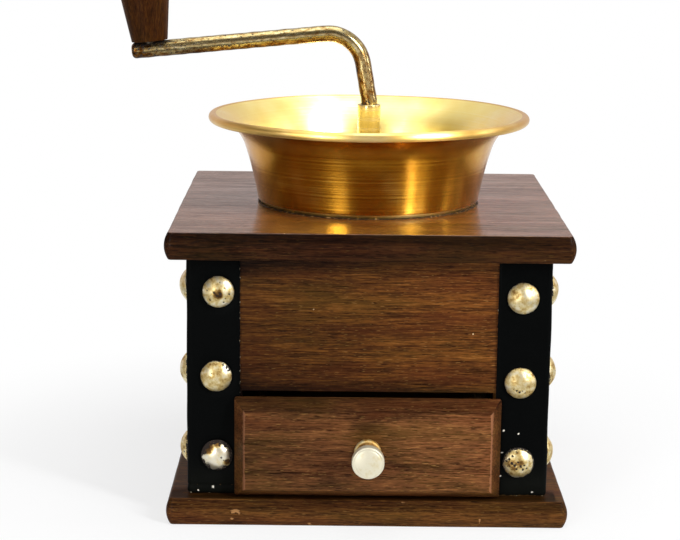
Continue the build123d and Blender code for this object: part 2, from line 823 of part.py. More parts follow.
pin_head_level = sink_level + touch_clear
pin_end_level = -sqrt(rod_radius ** 2 - (knob_pin_dia / 2) ** 2)
with BuildPart() as knob_pin:
    with BuildSketch(knob_plane.offset(pin_end_level)):
        Circle(knob_pin_dia / 2)
    extrude(amount=pin_head_level - pin_end_level)
    with BuildSketch(knob_plane.offset(pin_head_level)):
        Circle(knob_pin_head_dia / 2)
    extrude(amount=knob_pin_head_thick)
save(knob_pin.part, "knob_pin")

print("knob hinge at", [round(v, 3) for v in knob_spot], "axis", [round(v, 5) for v in knob_axis])
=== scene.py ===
import functools
import json
import math

import bmesh
import bpy
import numpy as np
from mathutils import Matrix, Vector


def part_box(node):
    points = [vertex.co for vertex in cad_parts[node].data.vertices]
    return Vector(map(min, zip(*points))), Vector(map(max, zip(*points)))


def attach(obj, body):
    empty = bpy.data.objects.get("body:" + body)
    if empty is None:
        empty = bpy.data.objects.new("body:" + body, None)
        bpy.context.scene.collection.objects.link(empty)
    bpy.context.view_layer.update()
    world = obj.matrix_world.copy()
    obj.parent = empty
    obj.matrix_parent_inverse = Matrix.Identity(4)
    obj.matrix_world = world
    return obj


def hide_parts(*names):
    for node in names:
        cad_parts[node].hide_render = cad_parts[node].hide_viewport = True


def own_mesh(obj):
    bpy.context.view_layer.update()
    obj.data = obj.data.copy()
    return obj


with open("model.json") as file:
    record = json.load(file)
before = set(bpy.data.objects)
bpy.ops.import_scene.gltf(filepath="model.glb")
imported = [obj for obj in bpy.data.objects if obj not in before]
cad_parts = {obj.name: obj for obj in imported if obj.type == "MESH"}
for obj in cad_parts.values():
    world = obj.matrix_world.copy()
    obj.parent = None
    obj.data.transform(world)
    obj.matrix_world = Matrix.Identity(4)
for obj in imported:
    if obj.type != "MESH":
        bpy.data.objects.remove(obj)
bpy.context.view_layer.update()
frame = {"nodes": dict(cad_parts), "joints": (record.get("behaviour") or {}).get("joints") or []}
nodes = frame["nodes"]
mm = 0.001  # shapes are worked out in millimetres and stored in metres
sharpFrom = math.radians(38)  # edges that turn further than this are shaded sharp
print("frame loaded with", len(nodes), "nodes")


# colours, nodes and materials

def toLinear(hexText):
    # sRGB hex to linear red, green, blue, with full alpha
    srgb = np.array([int(hexText[i:i + 2], 16) for i in (1, 3, 5)]) / 255
    linear = np.where(srgb <= 0.04045, srgb / 12.92, ((srgb + 0.055) / 1.055) ** 2.4)
    return (*linear.tolist(), 1.0)


def feed(node, links):
    # gives each named input its source: a socket, or the first output of a node
    for key, source in links.items():
        socket = source.outputs[0] if isinstance(source, bpy.types.Node) else source
        node.id_data.links.new(socket, node.inputs[key])


def addNode(tree, kind, settings=None, links=None):
    # settings name a property, an input or the stops of a ramp
    node = tree.nodes.new("ShaderNode" + kind)
    for key, value in (settings or {}).items():
        if key == "stops":
            ends = node.color_ramp.elements
            ends[0].position, ends[0].color = value[0][0], toLinear(value[0][1])
            ends[1].position, ends[1].color = value[-1][0], toLinear(value[-1][1])
            for position, colour in value[1:-1]:
                ends.new(position).color = toLinear(colour)
        elif isinstance(key, str) and hasattr(node, key):
            setattr(node, key, value)
        else:
            node.inputs[key].default_value = value
    feed(node, links or {})
    return node


def startMaterial(name, settings):
    # a material with one principled shader, the function that adds its nodes, and its coordinates
    material = bpy.data.materials.new(name)
    material.use_nodes = True
    material.node_tree.nodes.clear()
    add = functools.partial(addNode, material.node_tree)
    shader = add("BsdfPrincipled", settings)
    add("OutputMaterial", links={"Surface": shader})
    return material, add, shader, add("TexCoord").outputs["Object"]


# shapes: profiles, paths and the grids that they carry

def boxMm(node):
    # low and high corner of a CAD node in millimetres
    low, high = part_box(node)
    return np.array(low) / mm, np.array(high) / mm


def wobble(t, waves, seed):
    # mean of eight sines of 1 to `waves` whole periods over t = 0..1, with drawn phases
    draw = np.random.default_rng(seed)
    counts = draw.integers(1, waves + 1, 8)
    phases = draw.uniform(0, 2 * np.pi, 8)
    return np.sin(2 * np.pi * counts * np.asarray(t)[..., None] + phases).mean(-1) * 2


def roundLine(corners, steps=6):
    # straight runs between (x, y, radius) corners, each corner cut by its tangent arc
    spots = np.array([corner[:2] for corner in corners], float)
    runs = []
    for i, corner in enumerate(corners):
        here, radius = spots[i], corner[2]
        if radius == 0:
            runs.append(here[None])
            continue
        back = (spots[i - 1] - here) / np.linalg.norm(spots[i - 1] - here)
        ahead = (spots[(i + 1) % len(spots)] - here) / np.linalg.norm(spots[(i + 1) % len(spots)] - here)
        inside = math.acos(np.clip(back @ ahead, -1, 1))
        middle = here + (back + ahead) / np.linalg.norm(back + ahead) * radius / math.sin(inside / 2)
        first = here + back * radius / math.tan(inside / 2) - middle
        last = here + ahead * radius / math.tan(inside / 2) - middle
        sweep = math.pi - inside
        t = np.linspace(0, 1, steps + 1)[:, None]
        runs.append(middle + (np.sin((1 - t) * sweep) * first + np.sin(t * sweep) * last) / math.sin(sweep))
    return np.concatenate(runs)


def fillLine(points, longest):
    # the same line with extra points on every run over `longest`
    lengths = np.linalg.norm(np.diff(points, axis=0), axis=1)
    runs = [
        np.linspace(a, b, max(1, math.ceil(length / longest)), endpoint=False)
        for a, b, length in zip(points[:-1], points[1:], lengths)
    ]
    return np.concatenate(runs + [points[-1:]])


def ringPath(halfX, halfY, radius, countX, countY, countCorner):
    # rounded rectangle, anticlockwise from the lower end of its right side
    along, across = np.linspace(-1, 1, countY), np.linspace(-1, 1, countX)
    angle = np.linspace(0, np.pi / 2, countCorner + 2)[1:-1]
    inX, inY = halfX - radius, halfY - radius
    right = np.stack([np.full(countY, halfX), along * inY], -1)
    top = np.stack([-across * inX, np.full(countX, halfY)], -1)
    corner = np.stack([inX + radius * np.cos(angle), inY + radius * np.sin(angle)], -1)
    turned = corner[::-1]
    return np.concatenate([right, corner, top, turned * [-1, 1], -right, -corner, -top, turned * [1, -1]])


def bell(distance, width):
    # bell curve: 1 at no distance, 0.37 at one width
    return np.exp(-(distance / width) ** 2)


def lineLength(points):
    # distance along the line from its first point to each point
    return np.concatenate([[0], np.cumsum(np.linalg.norm(np.diff(points, axis=0), axis=1))])


def directions(points):
    # unit heading of the line at each point, and the unit normal to its left
    slope = np.gradient(points, lineLength(points), axis=0)
    slope /= np.linalg.norm(slope, axis=1, keepdims=True)
    return slope, np.stack([-slope[:, 1], slope[:, 0]], -1)


def spin(profile, count):
    # profile of (radius, height) turned about Z: rows follow the profile, columns the turn
    angle = np.arange(count) / count * 2 * np.pi
    radius, height = profile[:, 0, None], profile[:, 1, None]
    return np.stack([radius * np.cos(angle), radius * np.sin(angle), height + 0 * angle], -1)


def addObject(name, data):
    # a new object in the scene
    made = bpy.data.objects.new(name, data)
    bpy.context.scene.collection.objects.link(made)
    return made


def putMesh(name, grid, body, material, replaced=(), wrapRows=False, values=None):
    # grid is copies by rows by columns by xyz; columns close into rings
    # the last row joins the first where rows wrap, and otherwise both end rings are zipped shut
    grid = np.asarray(grid, float).reshape((-1,) + grid.shape[-3:])
    copies, rows, columns = grid.shape[:3]
    index = np.arange(copies * rows * columns).reshape(copies, rows, columns)
    wide = np.concatenate([index, index[:, :, :1]], 2)
    if wrapRows:
        wide = np.concatenate([wide, wide[:, :1]], 1)
    quads = wide[:, :-1, :-1], wide[:, :-1, 1:], wide[:, 1:, 1:], wide[:, 1:, :-1]
    faces = [np.stack(quads, -1).reshape(-1, 4)]
    for ring in () if wrapRows else (index[:, 0], index[:, -1]):
        near, far = ring[:, :columns // 2], ring[:, ::-1][:, :columns // 2]
        faces.append(np.stack([near[:, :-1], near[:, 1:], far[:, 1:], far[:, :-1]], -1).reshape(-1, 4))
    mesh = bpy.data.meshes.new(name)
    mesh.from_pydata((grid.reshape(-1, 3) * mm).tolist(), [], np.concatenate(faces).tolist())
    for key, value in (values or {}).items():
        spread = np.broadcast_to(value, (copies, rows, columns)).astype(np.float32)
        mesh.attributes.new(key, "FLOAT", "POINT").data.foreach_set("value", spread.ravel())
    whole = bmesh.new()
    whole.from_mesh(mesh)
    bmesh.ops.recalc_face_normals(whole, faces=whole.faces)
    whole.to_mesh(mesh)
    whole.free()
    mesh.shade_smooth()
    mesh.set_sharp_from_angle(angle=sharpFrom)
    mesh.materials.append(material)
    piece = addObject(name, mesh)
    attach(piece, body)
    if replaced:
        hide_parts(*replaced)
    return piece


# stained wood: walnut-brown stain under an old varnish, so thin streaks and pores show through a clear sheen

woodLook = {
    "dark": "#221204", "mid": "#462810", "light": "#643b15", "pale": "#875724", "olive": "#45320f",
    "red": "#552812", "pore": "#130803", "fleck": "#96703a", "dust": "#b79a70", "bare": "#a97b4c",
    "fine": (8, 0.34), "streak": (32, 1.1), "band": (110, 9), "mottle": (2.2, 0.5),  # length and width
    "hue": (40, 9), "pores": (4.5, 0.3), "flecks": (3, 0.3), "speckGap": 9.0,
    "weights": {"streak": 0.24, "fine": 0.4, "band": 0.24, "mottle": 0.12}, "least": 0.03, "grainDepth": 0.08,
    "coat": (0.04, 0.16), "coatRoughness": 0.22, "coatIor": 1.4,
    "relief": 0.35, "thin": (1.0, 1.0), "thinReach": 50, "dim": (), "grime": None,
}


def stainedWood(name, shift, grain=0, **changes):
    look = {**woodLook, **changes}
    material, add, shader, place = startMaterial(name, {
        "Coat Roughness": look["coatRoughness"], "Coat IOR": look["coatIor"],
        "IOR": 1.5, "Specular IOR Level": 0.03,
    })
    parts = add("SeparateXYZ", links={0: place})

    def layer(size, detail):
        # noise stretched along the grain: length and width in millimetres
        scale = [1 / (size[1] * mm)] * 3
        scale[grain] = 1 / (size[0] * mm)
        spot = add("Mapping", {"Scale": scale, "Location": shift}, {"Vector": place})
        return add("TexNoise", {"Scale": 1.0, "Detail": detail, "Roughness": 0.6}, {"Vector": spot})

    streak = layer(look["streak"], 3)
    tone = add("Math", {"operation": "MULTIPLY", 1: look["weights"]["streak"]}, {0: streak})
    for key, detail in (("fine", 3), ("band", 2), ("mottle", 1)):
        tone = add("Math", {"operation": "MULTIPLY_ADD", 1: look["weights"][key]},
                   {0: layer(look[key], detail), 2: tone})
    colour = add("ValToRGB", {"stops": [
        (0.40, look["dark"]), (0.48, look["mid"]), (0.55, look["light"]), (0.66, look["pale"]),
    ]}, {0: tone})

    hue = layer(look["hue"], 2)
    olive = add("MapRange", {"From Min": 0.5, "From Max": 0.7, "To Max": 0.5}, {"Value": hue})
    red = add("MapRange", {"From Min": 0.5, "From Max": 0.3, "To Max": 0.4}, {"Value": hue})
    deep = add("MapRange", {"From Min": 0.61, "From Max": 0.68, "To Max": 0.75},
               {"Value": layer(look["pores"], 1)})
    fleck = add("MapRange", {"From Min": 0.66, "From Max": 0.72, "To Max": 0.45},
                {"Value": layer(look["flecks"], 1)})
    cells = add("TexVoronoi", {"Scale": 1 / (look["speckGap"] * mm)}, {"Vector": place})
    chosen = add("SeparateColor", links={0: cells.outputs["Color"]})
    grit = add("Math", {"operation": "MULTIPLY", 1: 0.035}, {0: chosen})
    dust = add("Math", {"operation": "LESS_THAN"}, {0: cells.outputs["Distance"], 1: grit})
    worn = add("Attribute", {"attribute_name": "wear"})
    ragged = add("Math", {"operation": "ADD"}, {0: worn.outputs["Fac"], 1: streak})
    rubbed = add("MapRange", {"From Min": 0.95, "From Max": 1.2}, {"Value": ragged})
    tints = {"olive": olive, "red": red, "pore": deep, "fleck": fleck, "dust": dust, "bare": rubbed}
    for tint, factor in tints.items():
        colour = add("Mix", {"data_type": "RGBA", 7: toLinear(look[tint])},
                     {0: factor, 6: colour}).outputs[2]

    # colour level across X: painted light, darker to the left and brighter to the right as if lit from the
    # right; equal ends only darken the wood
    level = add("MapRange", {
        "From Min": -look["thinReach"] * mm, "From Max": look["thinReach"] * mm,
        "To Min": look["thin"][0], "To Max": look["thin"][1],
    }, {"Value": parts.outputs["X"]})
    # painted shade: the shade attribute and the height bands lower the colour level
    shade = add("Attribute", {"attribute_name": "shade"}).outputs["Fac"]
    darkenings = [shade]
    for start, end, amount in look["dim"]:
        darkenings.append(add("MapRange", {"From Min": start * mm, "From Max": end * mm, "To Max": amount},
                          {"Value": parts.outputs["Z"]}))
    # a darker patch round a given spot, with a ragged edge: across, height, half width, half height, amount
    if look["grime"]:
        across, high, halfWidth, halfHeight, amount = look["grime"]
        spot = add("Mapping", {
            "Scale": (1 / (halfWidth * mm), 0, 1 / (halfHeight * mm)),
            "Location": (-across / halfWidth, 0, -high / halfHeight),
        }, {"Vector": place})
        away = add("VectorMath", {"operation": "LENGTH"}, {0: spot})
        blurred = add("Math", {"operation": "ADD"}, {0: away.outputs["Value"], 1: tone})
        darkenings.append(add("MapRange", {"From Min": 1.5, "From Max": 0.6, "To Max": amount},
                          {"Value": blurred}))
    for darkening in darkenings:
        level = add("Math", {"operation": "SUBTRACT"}, {0: level, 1: darkening})
    level = add("Math", {"operation": "MAXIMUM", 1: look["least"]}, {0: level})
    shaded = add("VectorMath", {"operation": "SCALE"}, {0: colour, "Scale": level})
    rough = add("MapRange", {"From Min": 0.4, "From Max": 0.65, "To Min": 0.45, "To Max": 0.6},
                {"Value": tone})
    varnish = add("MapRange", {
        "From Min": 0.36, "From Max": 0.6, "To Min": look["coat"][0], "To Max": look["coat"][1],
    }, {"Value": tone})
    # the coat thins where painted shade lies
    outOfShade = add("MapRange", {"To Min": 1.0, "From Max": 0.6, "To Max": 0.02}, {"Value": shade})
    glaze = add("Math", {"operation": "MULTIPLY"}, {0: varnish, 1: outOfShade})
    relief = add("Math", {"operation": "SUBTRACT"}, {0: tone, 1: deep})
    bump = add("Bump", {"Strength": look["relief"], "Distance": look["grainDepth"] * mm},
               {"Height": relief})
    feed(shader, {
        "Base Color": shaded, "Roughness": rough, "Coat Weight": glaze, "Normal": bump,
        "Coat Normal": bump,
    })
    return material


caseTop = boxMm("front_panel")[1][2]
gapLevel = boxMm("drawer_front")[1][2]
drawerKnobLevel = np.mean(boxMm("drawer_knob"), 0)[2]
# painted shadow under the top board's overhang and painted shade above the drawer gap: from and to heights in
# millimetres, then the amount
lidShadow, gapShade = (caseTop - 7, caseTop - 2, 0.45), (gapLevel + 8.0, gapLevel + 1.2, 0.5)
topWood = stainedWood("stainedWoodTop", (0.0, 0.0, 0.0), coat=(0.3, 1.0), coatRoughness=0.1, coatIor=1.9,
                      mid="#54301a", light="#734523", relief=0.5)
baseWood = stainedWood("stainedWoodBase", (3.1, 7.7, 1.3), mid="#4a2c13", light="#66401b")
frontWood = stainedWood("stainedWoodFront", (5.2, 2.4, 9.1), thin=(0.5, 1.3), dim=(lidShadow, gapShade))
backWood = stainedWood("stainedWoodBack", (1.7, 6.6, 3.8), dim=(lidShadow,))
sideWood = stainedWood("stainedWoodSide", (8.3, 4.6, 2.2), grain=1, dim=(lidShadow,))
# the drawer front is darker in a patch just above its knob
drawerWood = stainedWood("stainedWoodDrawer", (1.7, 9.4, 6.5), mid="#4c2e18", light="#694122", pale="#8c5e33",
                         bare="#7d5236", thin=(0.74, 1.36), grime=(0, drawerKnobLevel + 9.0, 9.0, 4.5, 0.6))
knobWood = stainedWood("stainedWoodKnob", (4.4, 1.2, 3.8), grain=2, dark="#221000", mid="#381b03",
                       light="#482706", pale="#5a350b", olive="#332005", red="#3d1c06", fleck="#5e3c10",
                       dust="#5e3c10", coat=(0.04, 0.1), coatRoughness=0.3, thin=(0.8, 0.8))


def strapMaterial():
    # black dyed leather: deep black that hardly shines, grey where scuffed, with pale fibres along cut edges
    material, add, shader, place = startMaterial("blackLeather", {"IOR": 1.45, "Specular IOR Level": 0.03})
    broad = add("TexNoise", {"Scale": 1 / (9 * mm), "Detail": 4}, {"Vector": place})
    low = add("Attribute", {"attribute_name": "low"})
    edge = add("Attribute", {"attribute_name": "edge"})
    fray = add("Attribute", {"attribute_name": "fray"})
    scuffed = add("Math", {"operation": "MULTIPLY"}, {0: low.outputs["Fac"], 1: broad})
    colour = add("Mix", {"data_type": "RGBA", 6: toLinear("#040505"), 7: toLinear("#141511")},
                 {0: scuffed}).outputs[2]
    cells = add("TexVoronoi", {"Scale": 1 / (1.1 * mm)}, {"Vector": place})
    chosen = add("SeparateColor", links={0: cells.outputs["Color"]})
    near = add("Math", {"operation": "MULTIPLY"}, {0: edge.outputs["Fac"], 1: chosen})
    reach = add("MapRange", {"From Min": 0.45, "To Max": 0.5}, {"Value": near})
    lint = add("Math", {"operation": "LESS_THAN"}, {0: cells.outputs["Distance"], 1: reach})
    grain = add("TexNoise", {"Scale": 1 / (0.9 * mm), "Detail": 3}, {"Vector": place})
    torn = add("Math", {"operation": "ADD"}, {0: fray.outputs["Fac"], 1: grain})
    fibres = add("MapRange", {"From Min": 1.0, "From Max": 1.3, "To Max": 0.8}, {"Value": torn})
    dust = add("Attribute", {"attribute_name": "dust"})
    speck = add("MapRange", {"From Min": 0.35, "From Max": 0.6}, {"Value": dust.outputs["Fac"]})
    for factor, tint in ((fibres, "#8a6a42"), (lint, "#c9bda2"), (speck, "#e8e2d4")):
        colour = add("Mix", {"data_type": "RGBA", 7: toLinear(tint)}, {0: factor, 6: colour}).outputs[2]
    rough = add("MapRange", {"To Min": 0.4, "To Max": 0.62}, {"Value": broad})
    pebble = add("TexVoronoi", {"Scale": 1 / (0.8 * mm)}, {"Vector": place})
    bump = add("Bump", {"Strength": 0.3, "Distance": 0.06 * mm}, {"Height": pebble.outputs["Distance"]})
    feed(shader, {"Base Color": colour, "Roughness": rough, "Normal": bump})
    return material


leather = strapMaterial()


def spunBrass(name, look):
    # spun brass: satin metal whose fine turning lines draw each light out up and down the wall
    material, add, shader, place = startMaterial(name, {
        "Metallic": 1.0, "Anisotropic": look["anisotropy"], "Anisotropic Rotation": 0.25,
        "Coat Weight": look["lacquer"], "Coat Roughness": 0.12, "Coat IOR": 1.6,
    })
    tangent = add("Tangent", {"direction_type": "RADIAL", "axis": "Z"})
    along = add("Attribute", {"attribute_name": "along"})
    inside = add("Attribute", {"attribute_name": "inside"})
    lines = add("TexNoise", {"noise_dimensions": "1D", "Scale": 1 / look["lineGap"], "Detail": 3},
                {"W": along.outputs["Fac"]})
    cloud = add("TexNoise", {"Scale": 1 / (16 * mm), "Detail": 4}, {"Vector": place})
    mixed = add("Math", {"operation": "MULTIPLY_ADD", 1: 0.3}, {0: lines, 2: cloud})
    # the inner colours are a paler copy of the same brass: painted light for the bright inside of the bowl
    sides = [
        add("ValToRGB", {"stops": [(0.45, tints[0]), (0.7, tints[1]), (0.95, tints[2])]}, {0: mixed})
        for tints in (look["outer"], look["inner"])
    ]
    colour = add("Mix", {"data_type": "RGBA"}, {0: inside.outputs["Fac"], 6: sides[0], 7: sides[1]})
    cells = add("TexVoronoi", {"Scale": 1 / (9 * mm)}, {"Vector": place})
    chosen = add("SeparateColor", links={0: cells.outputs["Color"]})
    size = add("MapRange", {"From Min": 0.7, "To Max": 0.06}, {"Value": chosen})
    darkening = add("Math", {"operation": "LESS_THAN"}, {0: cells.outputs["Distance"], 1: size})
    spotted = add("Mix", {"data_type": "RGBA", 7: toLinear("#5a3a14")}, {0: darkening, 6: colour.outputs[2]})
    rough = add("MapRange", {
        "From Min": 0.35, "From Max": 0.65, "To Min": look["smooth"], "To Max": look["rough"],
    }, {"Value": lines})
    for key in ("inside", "lip"):
        part = add("Attribute", {"attribute_name": key})
        rough = add("Math", {"operation": "MULTIPLY_ADD", 1: look[key + "Rough"]},
                    {0: part.outputs["Fac"], 2: rough})
    bump = add("Bump", {"Strength": look["relief"], "Distance": 0.05 * mm}, {"Height": lines})
    feed(shader, {"Tangent": tangent, "Base Color": spotted.outputs[2], "Roughness": rough, "Normal": bump})
    return material


hopperBrass = spunBrass("spunBrass", {
    "outer": ("#bf8119", "#ce932a", "#e2b658"), "inner": ("#f5db80", "#f9e596", "#fdf1c0"),
    "smooth": 0.18, "rough": 0.25, "insideRough": 0.18, "lipRough": 0.1,
    "anisotropy": 0.8, "lacquer": 0.1, "lineGap": 0.7 * mm, "relief": 0.25,
})
tubeBrass = spunBrass("drawnBrassTube", {
    "outer": ("#bda568", "#cfba7e", "#e2d2a4"), "inner": ("#bda568", "#cfba7e", "#e2d2a4"),
    "smooth": 0.2, "rough": 0.3, "insideRough": 0.0, "lipRough": 0.0,
    "anisotropy": 0.0, "lacquer": 0.0, "lineGap": 2.0 * mm, "relief": 0.04,
})


def wornMetal(name, look):
    # worn plate: pale rubbed metal, browned hollows, dark pits eaten through the plate
    material, add, shader, place = startMaterial(name, {})
    if look["stretch"]:
        # marks drawn out along a bent rod, by its straightened place
        run, side, rise = (
            add("Attribute", {"attribute_name": key}).outputs["Fac"] for key in ("run", "side", "rise")
        )
        drawn = add("Math", {"operation": "DIVIDE", 1: look["stretch"]}, {0: run})
        place = add("CombineXYZ", links={0: drawn, 1: side, 2: rise})
    patch = add("TexNoise", {"Scale": 1 / (look["patch"] * mm), "Detail": 5, "Roughness": 0.62},
                {"Vector": place})
    wear = add("Attribute", {"attribute_name": "wear"})
    shifted = add("Math", {"operation": "ADD"}, {0: patch, 1: wear.outputs["Fac"]})
    colour = add("ValToRGB", {"stops": look["stops"]}, {0: shifted})
    fine = add("TexNoise", {"Scale": 1 / (look["pit"] * mm), "Detail": 2, "Roughness": 0.6},
               {"Vector": place})
    pitAt = add("Attribute", {"attribute_name": "pit"})
    eaten = add("Math", {"operation": "ADD"}, {0: fine, 1: pitAt.outputs["Fac"]})
    pits = add("MapRange", {"From Min": look["pitFrom"], "From Max": look["pitFrom"] + 0.05},
               {"Value": eaten})
    pitted = add("Mix", {"data_type": "RGBA", 7: toLinear(look["pitColour"])}, {0: pits, 6: colour})
    polish = add("MapRange", {
        "From Min": 0.3, "From Max": 0.75, "To Min": look["dull"], "To Max": look["polish"],
    }, {"Value": shifted})
    rough = add("Math", {"operation": "MULTIPLY_ADD", 1: 0.4}, {0: pits, 2: polish})
    metal = add("MapRange", {"To Min": look["metal"], "To Max": 0.0}, {"Value": pits})
    relief = add("Math", {"operation": "SUBTRACT"}, {0: patch, 1: pits})
    bump = add("Bump", {"Strength": look["relief"], "Distance": 0.06 * mm}, {"Height": relief})
    feed(shader, {"Base Color": pitted.outputs[2], "Roughness": rough, "Metallic": metal, "Normal": bump})
    return material


studBrass = wornMetal("wornBrassStuds", {
    "patch": 2.2, "pit": 0.5, "pitFrom": 0.78, "pitColour": "#1d120a", "dull": 0.52, "polish": 0.3,
    "relief": 0.6, "metal": 0.88, "stretch": None,
    "stops": [(0.05, "#3d2814"), (0.28, "#846332"), (0.40, "#c8ae70"), (0.5, "#dccb98"), (0.62, "#e8dfc2"),
              (0.9, "#ebe9df")],
})
rodPlate = wornMetal("wornBrassPlate", {
    "patch": 1.2, "pit": 0.7, "pitFrom": 0.61, "pitColour": "#170d06", "dull": 0.27, "polish": 0.16,
    "relief": 0.1, "metal": 0.97, "stretch": 1.8,
    "stops": [(0.10, "#2b1402"), (0.28, "#6b4414"), (0.40, "#937d50"), (0.52, "#aa9a6c"), (0.64, "#c4b78e"),
              (0.80, "#ece3c6")],
})
knobBrass = wornMetal("turnedBrassKnob", {
    "patch": 2.5, "pit": 0.6, "pitFrom": 0.84, "pitColour": "#4a3417", "dull": 0.55, "polish": 0.45,
    "relief": 0.15, "metal": 0.55, "stretch": None,
    "stops": [(0.2, "#6d4a1a"), (0.42, "#ba9147"), (0.62, "#d0c293"), (0.85, "#dcd6be")],
})


grainLook = {
    "shader": {"Metallic": 1.0}, "stretch": None, "shift": (0, 0, 0), "grain": 1.2, "detail": 5,
    "rough": (0.3, 0.7, 0.3, 0.5), "relief": 0.1, "depth": 0.1,
}


def grainedMaterial(name, **changes):
    # one noise sets colour, gloss and relief; stretch gives the grain a length along each axis
    look = {**grainLook, **changes}
    material, add, shader, place = startMaterial(name, look["shader"])
    if look["stretch"]:
        scale = [1 / (length * mm) for length in look["stretch"]]
        place = add("Mapping", {"Scale": scale, "Location": look["shift"]}, {"Vector": place})
    noise = add("TexNoise", {"Scale": 1 / (look["grain"] * mm), "Detail": look["detail"]}, {"Vector": place})
    colour = add("ValToRGB", {"stops": look["stops"]}, {0: noise})
    ends = dict(zip(("From Min", "From Max", "To Min", "To Max"), look["rough"]))
    gloss = add("MapRange", ends, {"Value": noise})
    bump = add("Bump", {"Strength": look["relief"], "Distance": look["depth"] * mm}, {"Height": noise})
    feed(shader, {"Base Color": colour, "Roughness": gloss, "Normal": bump})
    return material


# steel, iron and cast brass: even colour broken by fine grain, dull in the hollows
screwSteel = grainedMaterial("agedSteel", stops=[(0.35, "#6e665a"), (0.65, "#9a948a")])
pinSteel = grainedMaterial("darkSteel", stops=[(0.35, "#2e2922"), (0.65, "#4c453b")],
                           rough=(0.3, 0.7, 0.35, 0.55))
millIron = grainedMaterial("castIron", stops=[(0.35, "#2c2b2a"), (0.65, "#4a4846")], grain=0.9,
                           rough=(0.3, 0.7, 0.45, 0.7), relief=0.6)
bridgeBrass = grainedMaterial("castBrass", stops=[(0.35, "#a98443"), (0.65, "#c9a560")], grain=2.0,
                              rough=(0.3, 0.7, 0.35, 0.5), relief=0.2)
# unfinished softwood inside the case: pale, dull, with soft growth lines
plainWood = grainedMaterial(
    "barePine", shader={"IOR": 1.5}, stretch=(90, 60, 2.4), shift=(2.0, 5.0, 1.0), grain=1000, detail=4,
    stops=[(0.3, "#8f6b43"), (0.5, "#b08a5c"), (0.7, "#c9a679")], rough=(0, 1, 0.6, 0.85), relief=0.3,
)
# dried glue and ground coffee caught under the hopper: near black, crumbly, with pale grains; its darkness
# also paints the shadow in the gap under the hopper's foot
glueAndShadowGrit = grainedMaterial(
    "driedGlueAndShadow", shader={"IOR": 1.5, "Specular IOR Level": 0.3}, grain=0.9, detail=3,
    stops=[(0.45, "#120a05"), (0.55, "#2b190b"), (0.62, "#5e3f1c"), (0.68, "#c9ac78")],
    rough=(0, 1, 0.45, 0.8), relief=0.8, depth=0.25,
)
print("materials ready:", len(bpy.data.materials))


# top board and base board: a rounded square carries the edge profile, whose face bulges in an arc

boardShape = {
    "bulge": 1.4, "cornerRound": 1.3, "edgeRound": 0.55, "faceBand": 5.0, "throat": 24.0, "core": 0.4,
    "arcSteps": 10, "perSide": 160, "perCorner": 6, "faceRings": 10, "pitch": 0.7,
    "wander": 0.12, "wanderWaves": 40, "wear": 0.22, "wearWaves": 60, "wearBand": 0.55, "wearReach": 0.8,
    "topShade": (0.88, 0.7), "baseShade": (0.45, 0.12),  # painted shade on the upper and lower half of the edge
    "shadeAt": [0.15, 0.5, 0.75, 0.97, 1.0],  # shares of the edge's height
}
baseMarks = {
    "frontAt": -66, "chipWear": 0.75, "chipDepth": 0.25, "ledgeFrom": -72, "ledgeTo": 66,
    "ledgeReach": [56, 60, 66, 69], "ledgeShade": [0, 0.85, 0.75, 0.3],  # painted shadow of the drawer and straps, with old dirt, by distance to the front
}
baseChips = [  # across, height, half width, half height
    (-45.6, 5.6, 1.9, 0.8), (-46.6, 4.9, 1.0, 0.5), (-44.2, 4.6, 0.7, 0.5), (-46.9, 2.5, 0.9, 0.5),
    (39.4, 2.6, 0.5, 1.5), (12.5, 8.9, 0.9, 0.4), (-20.0, 0.9, 0.8, 0.5),
]


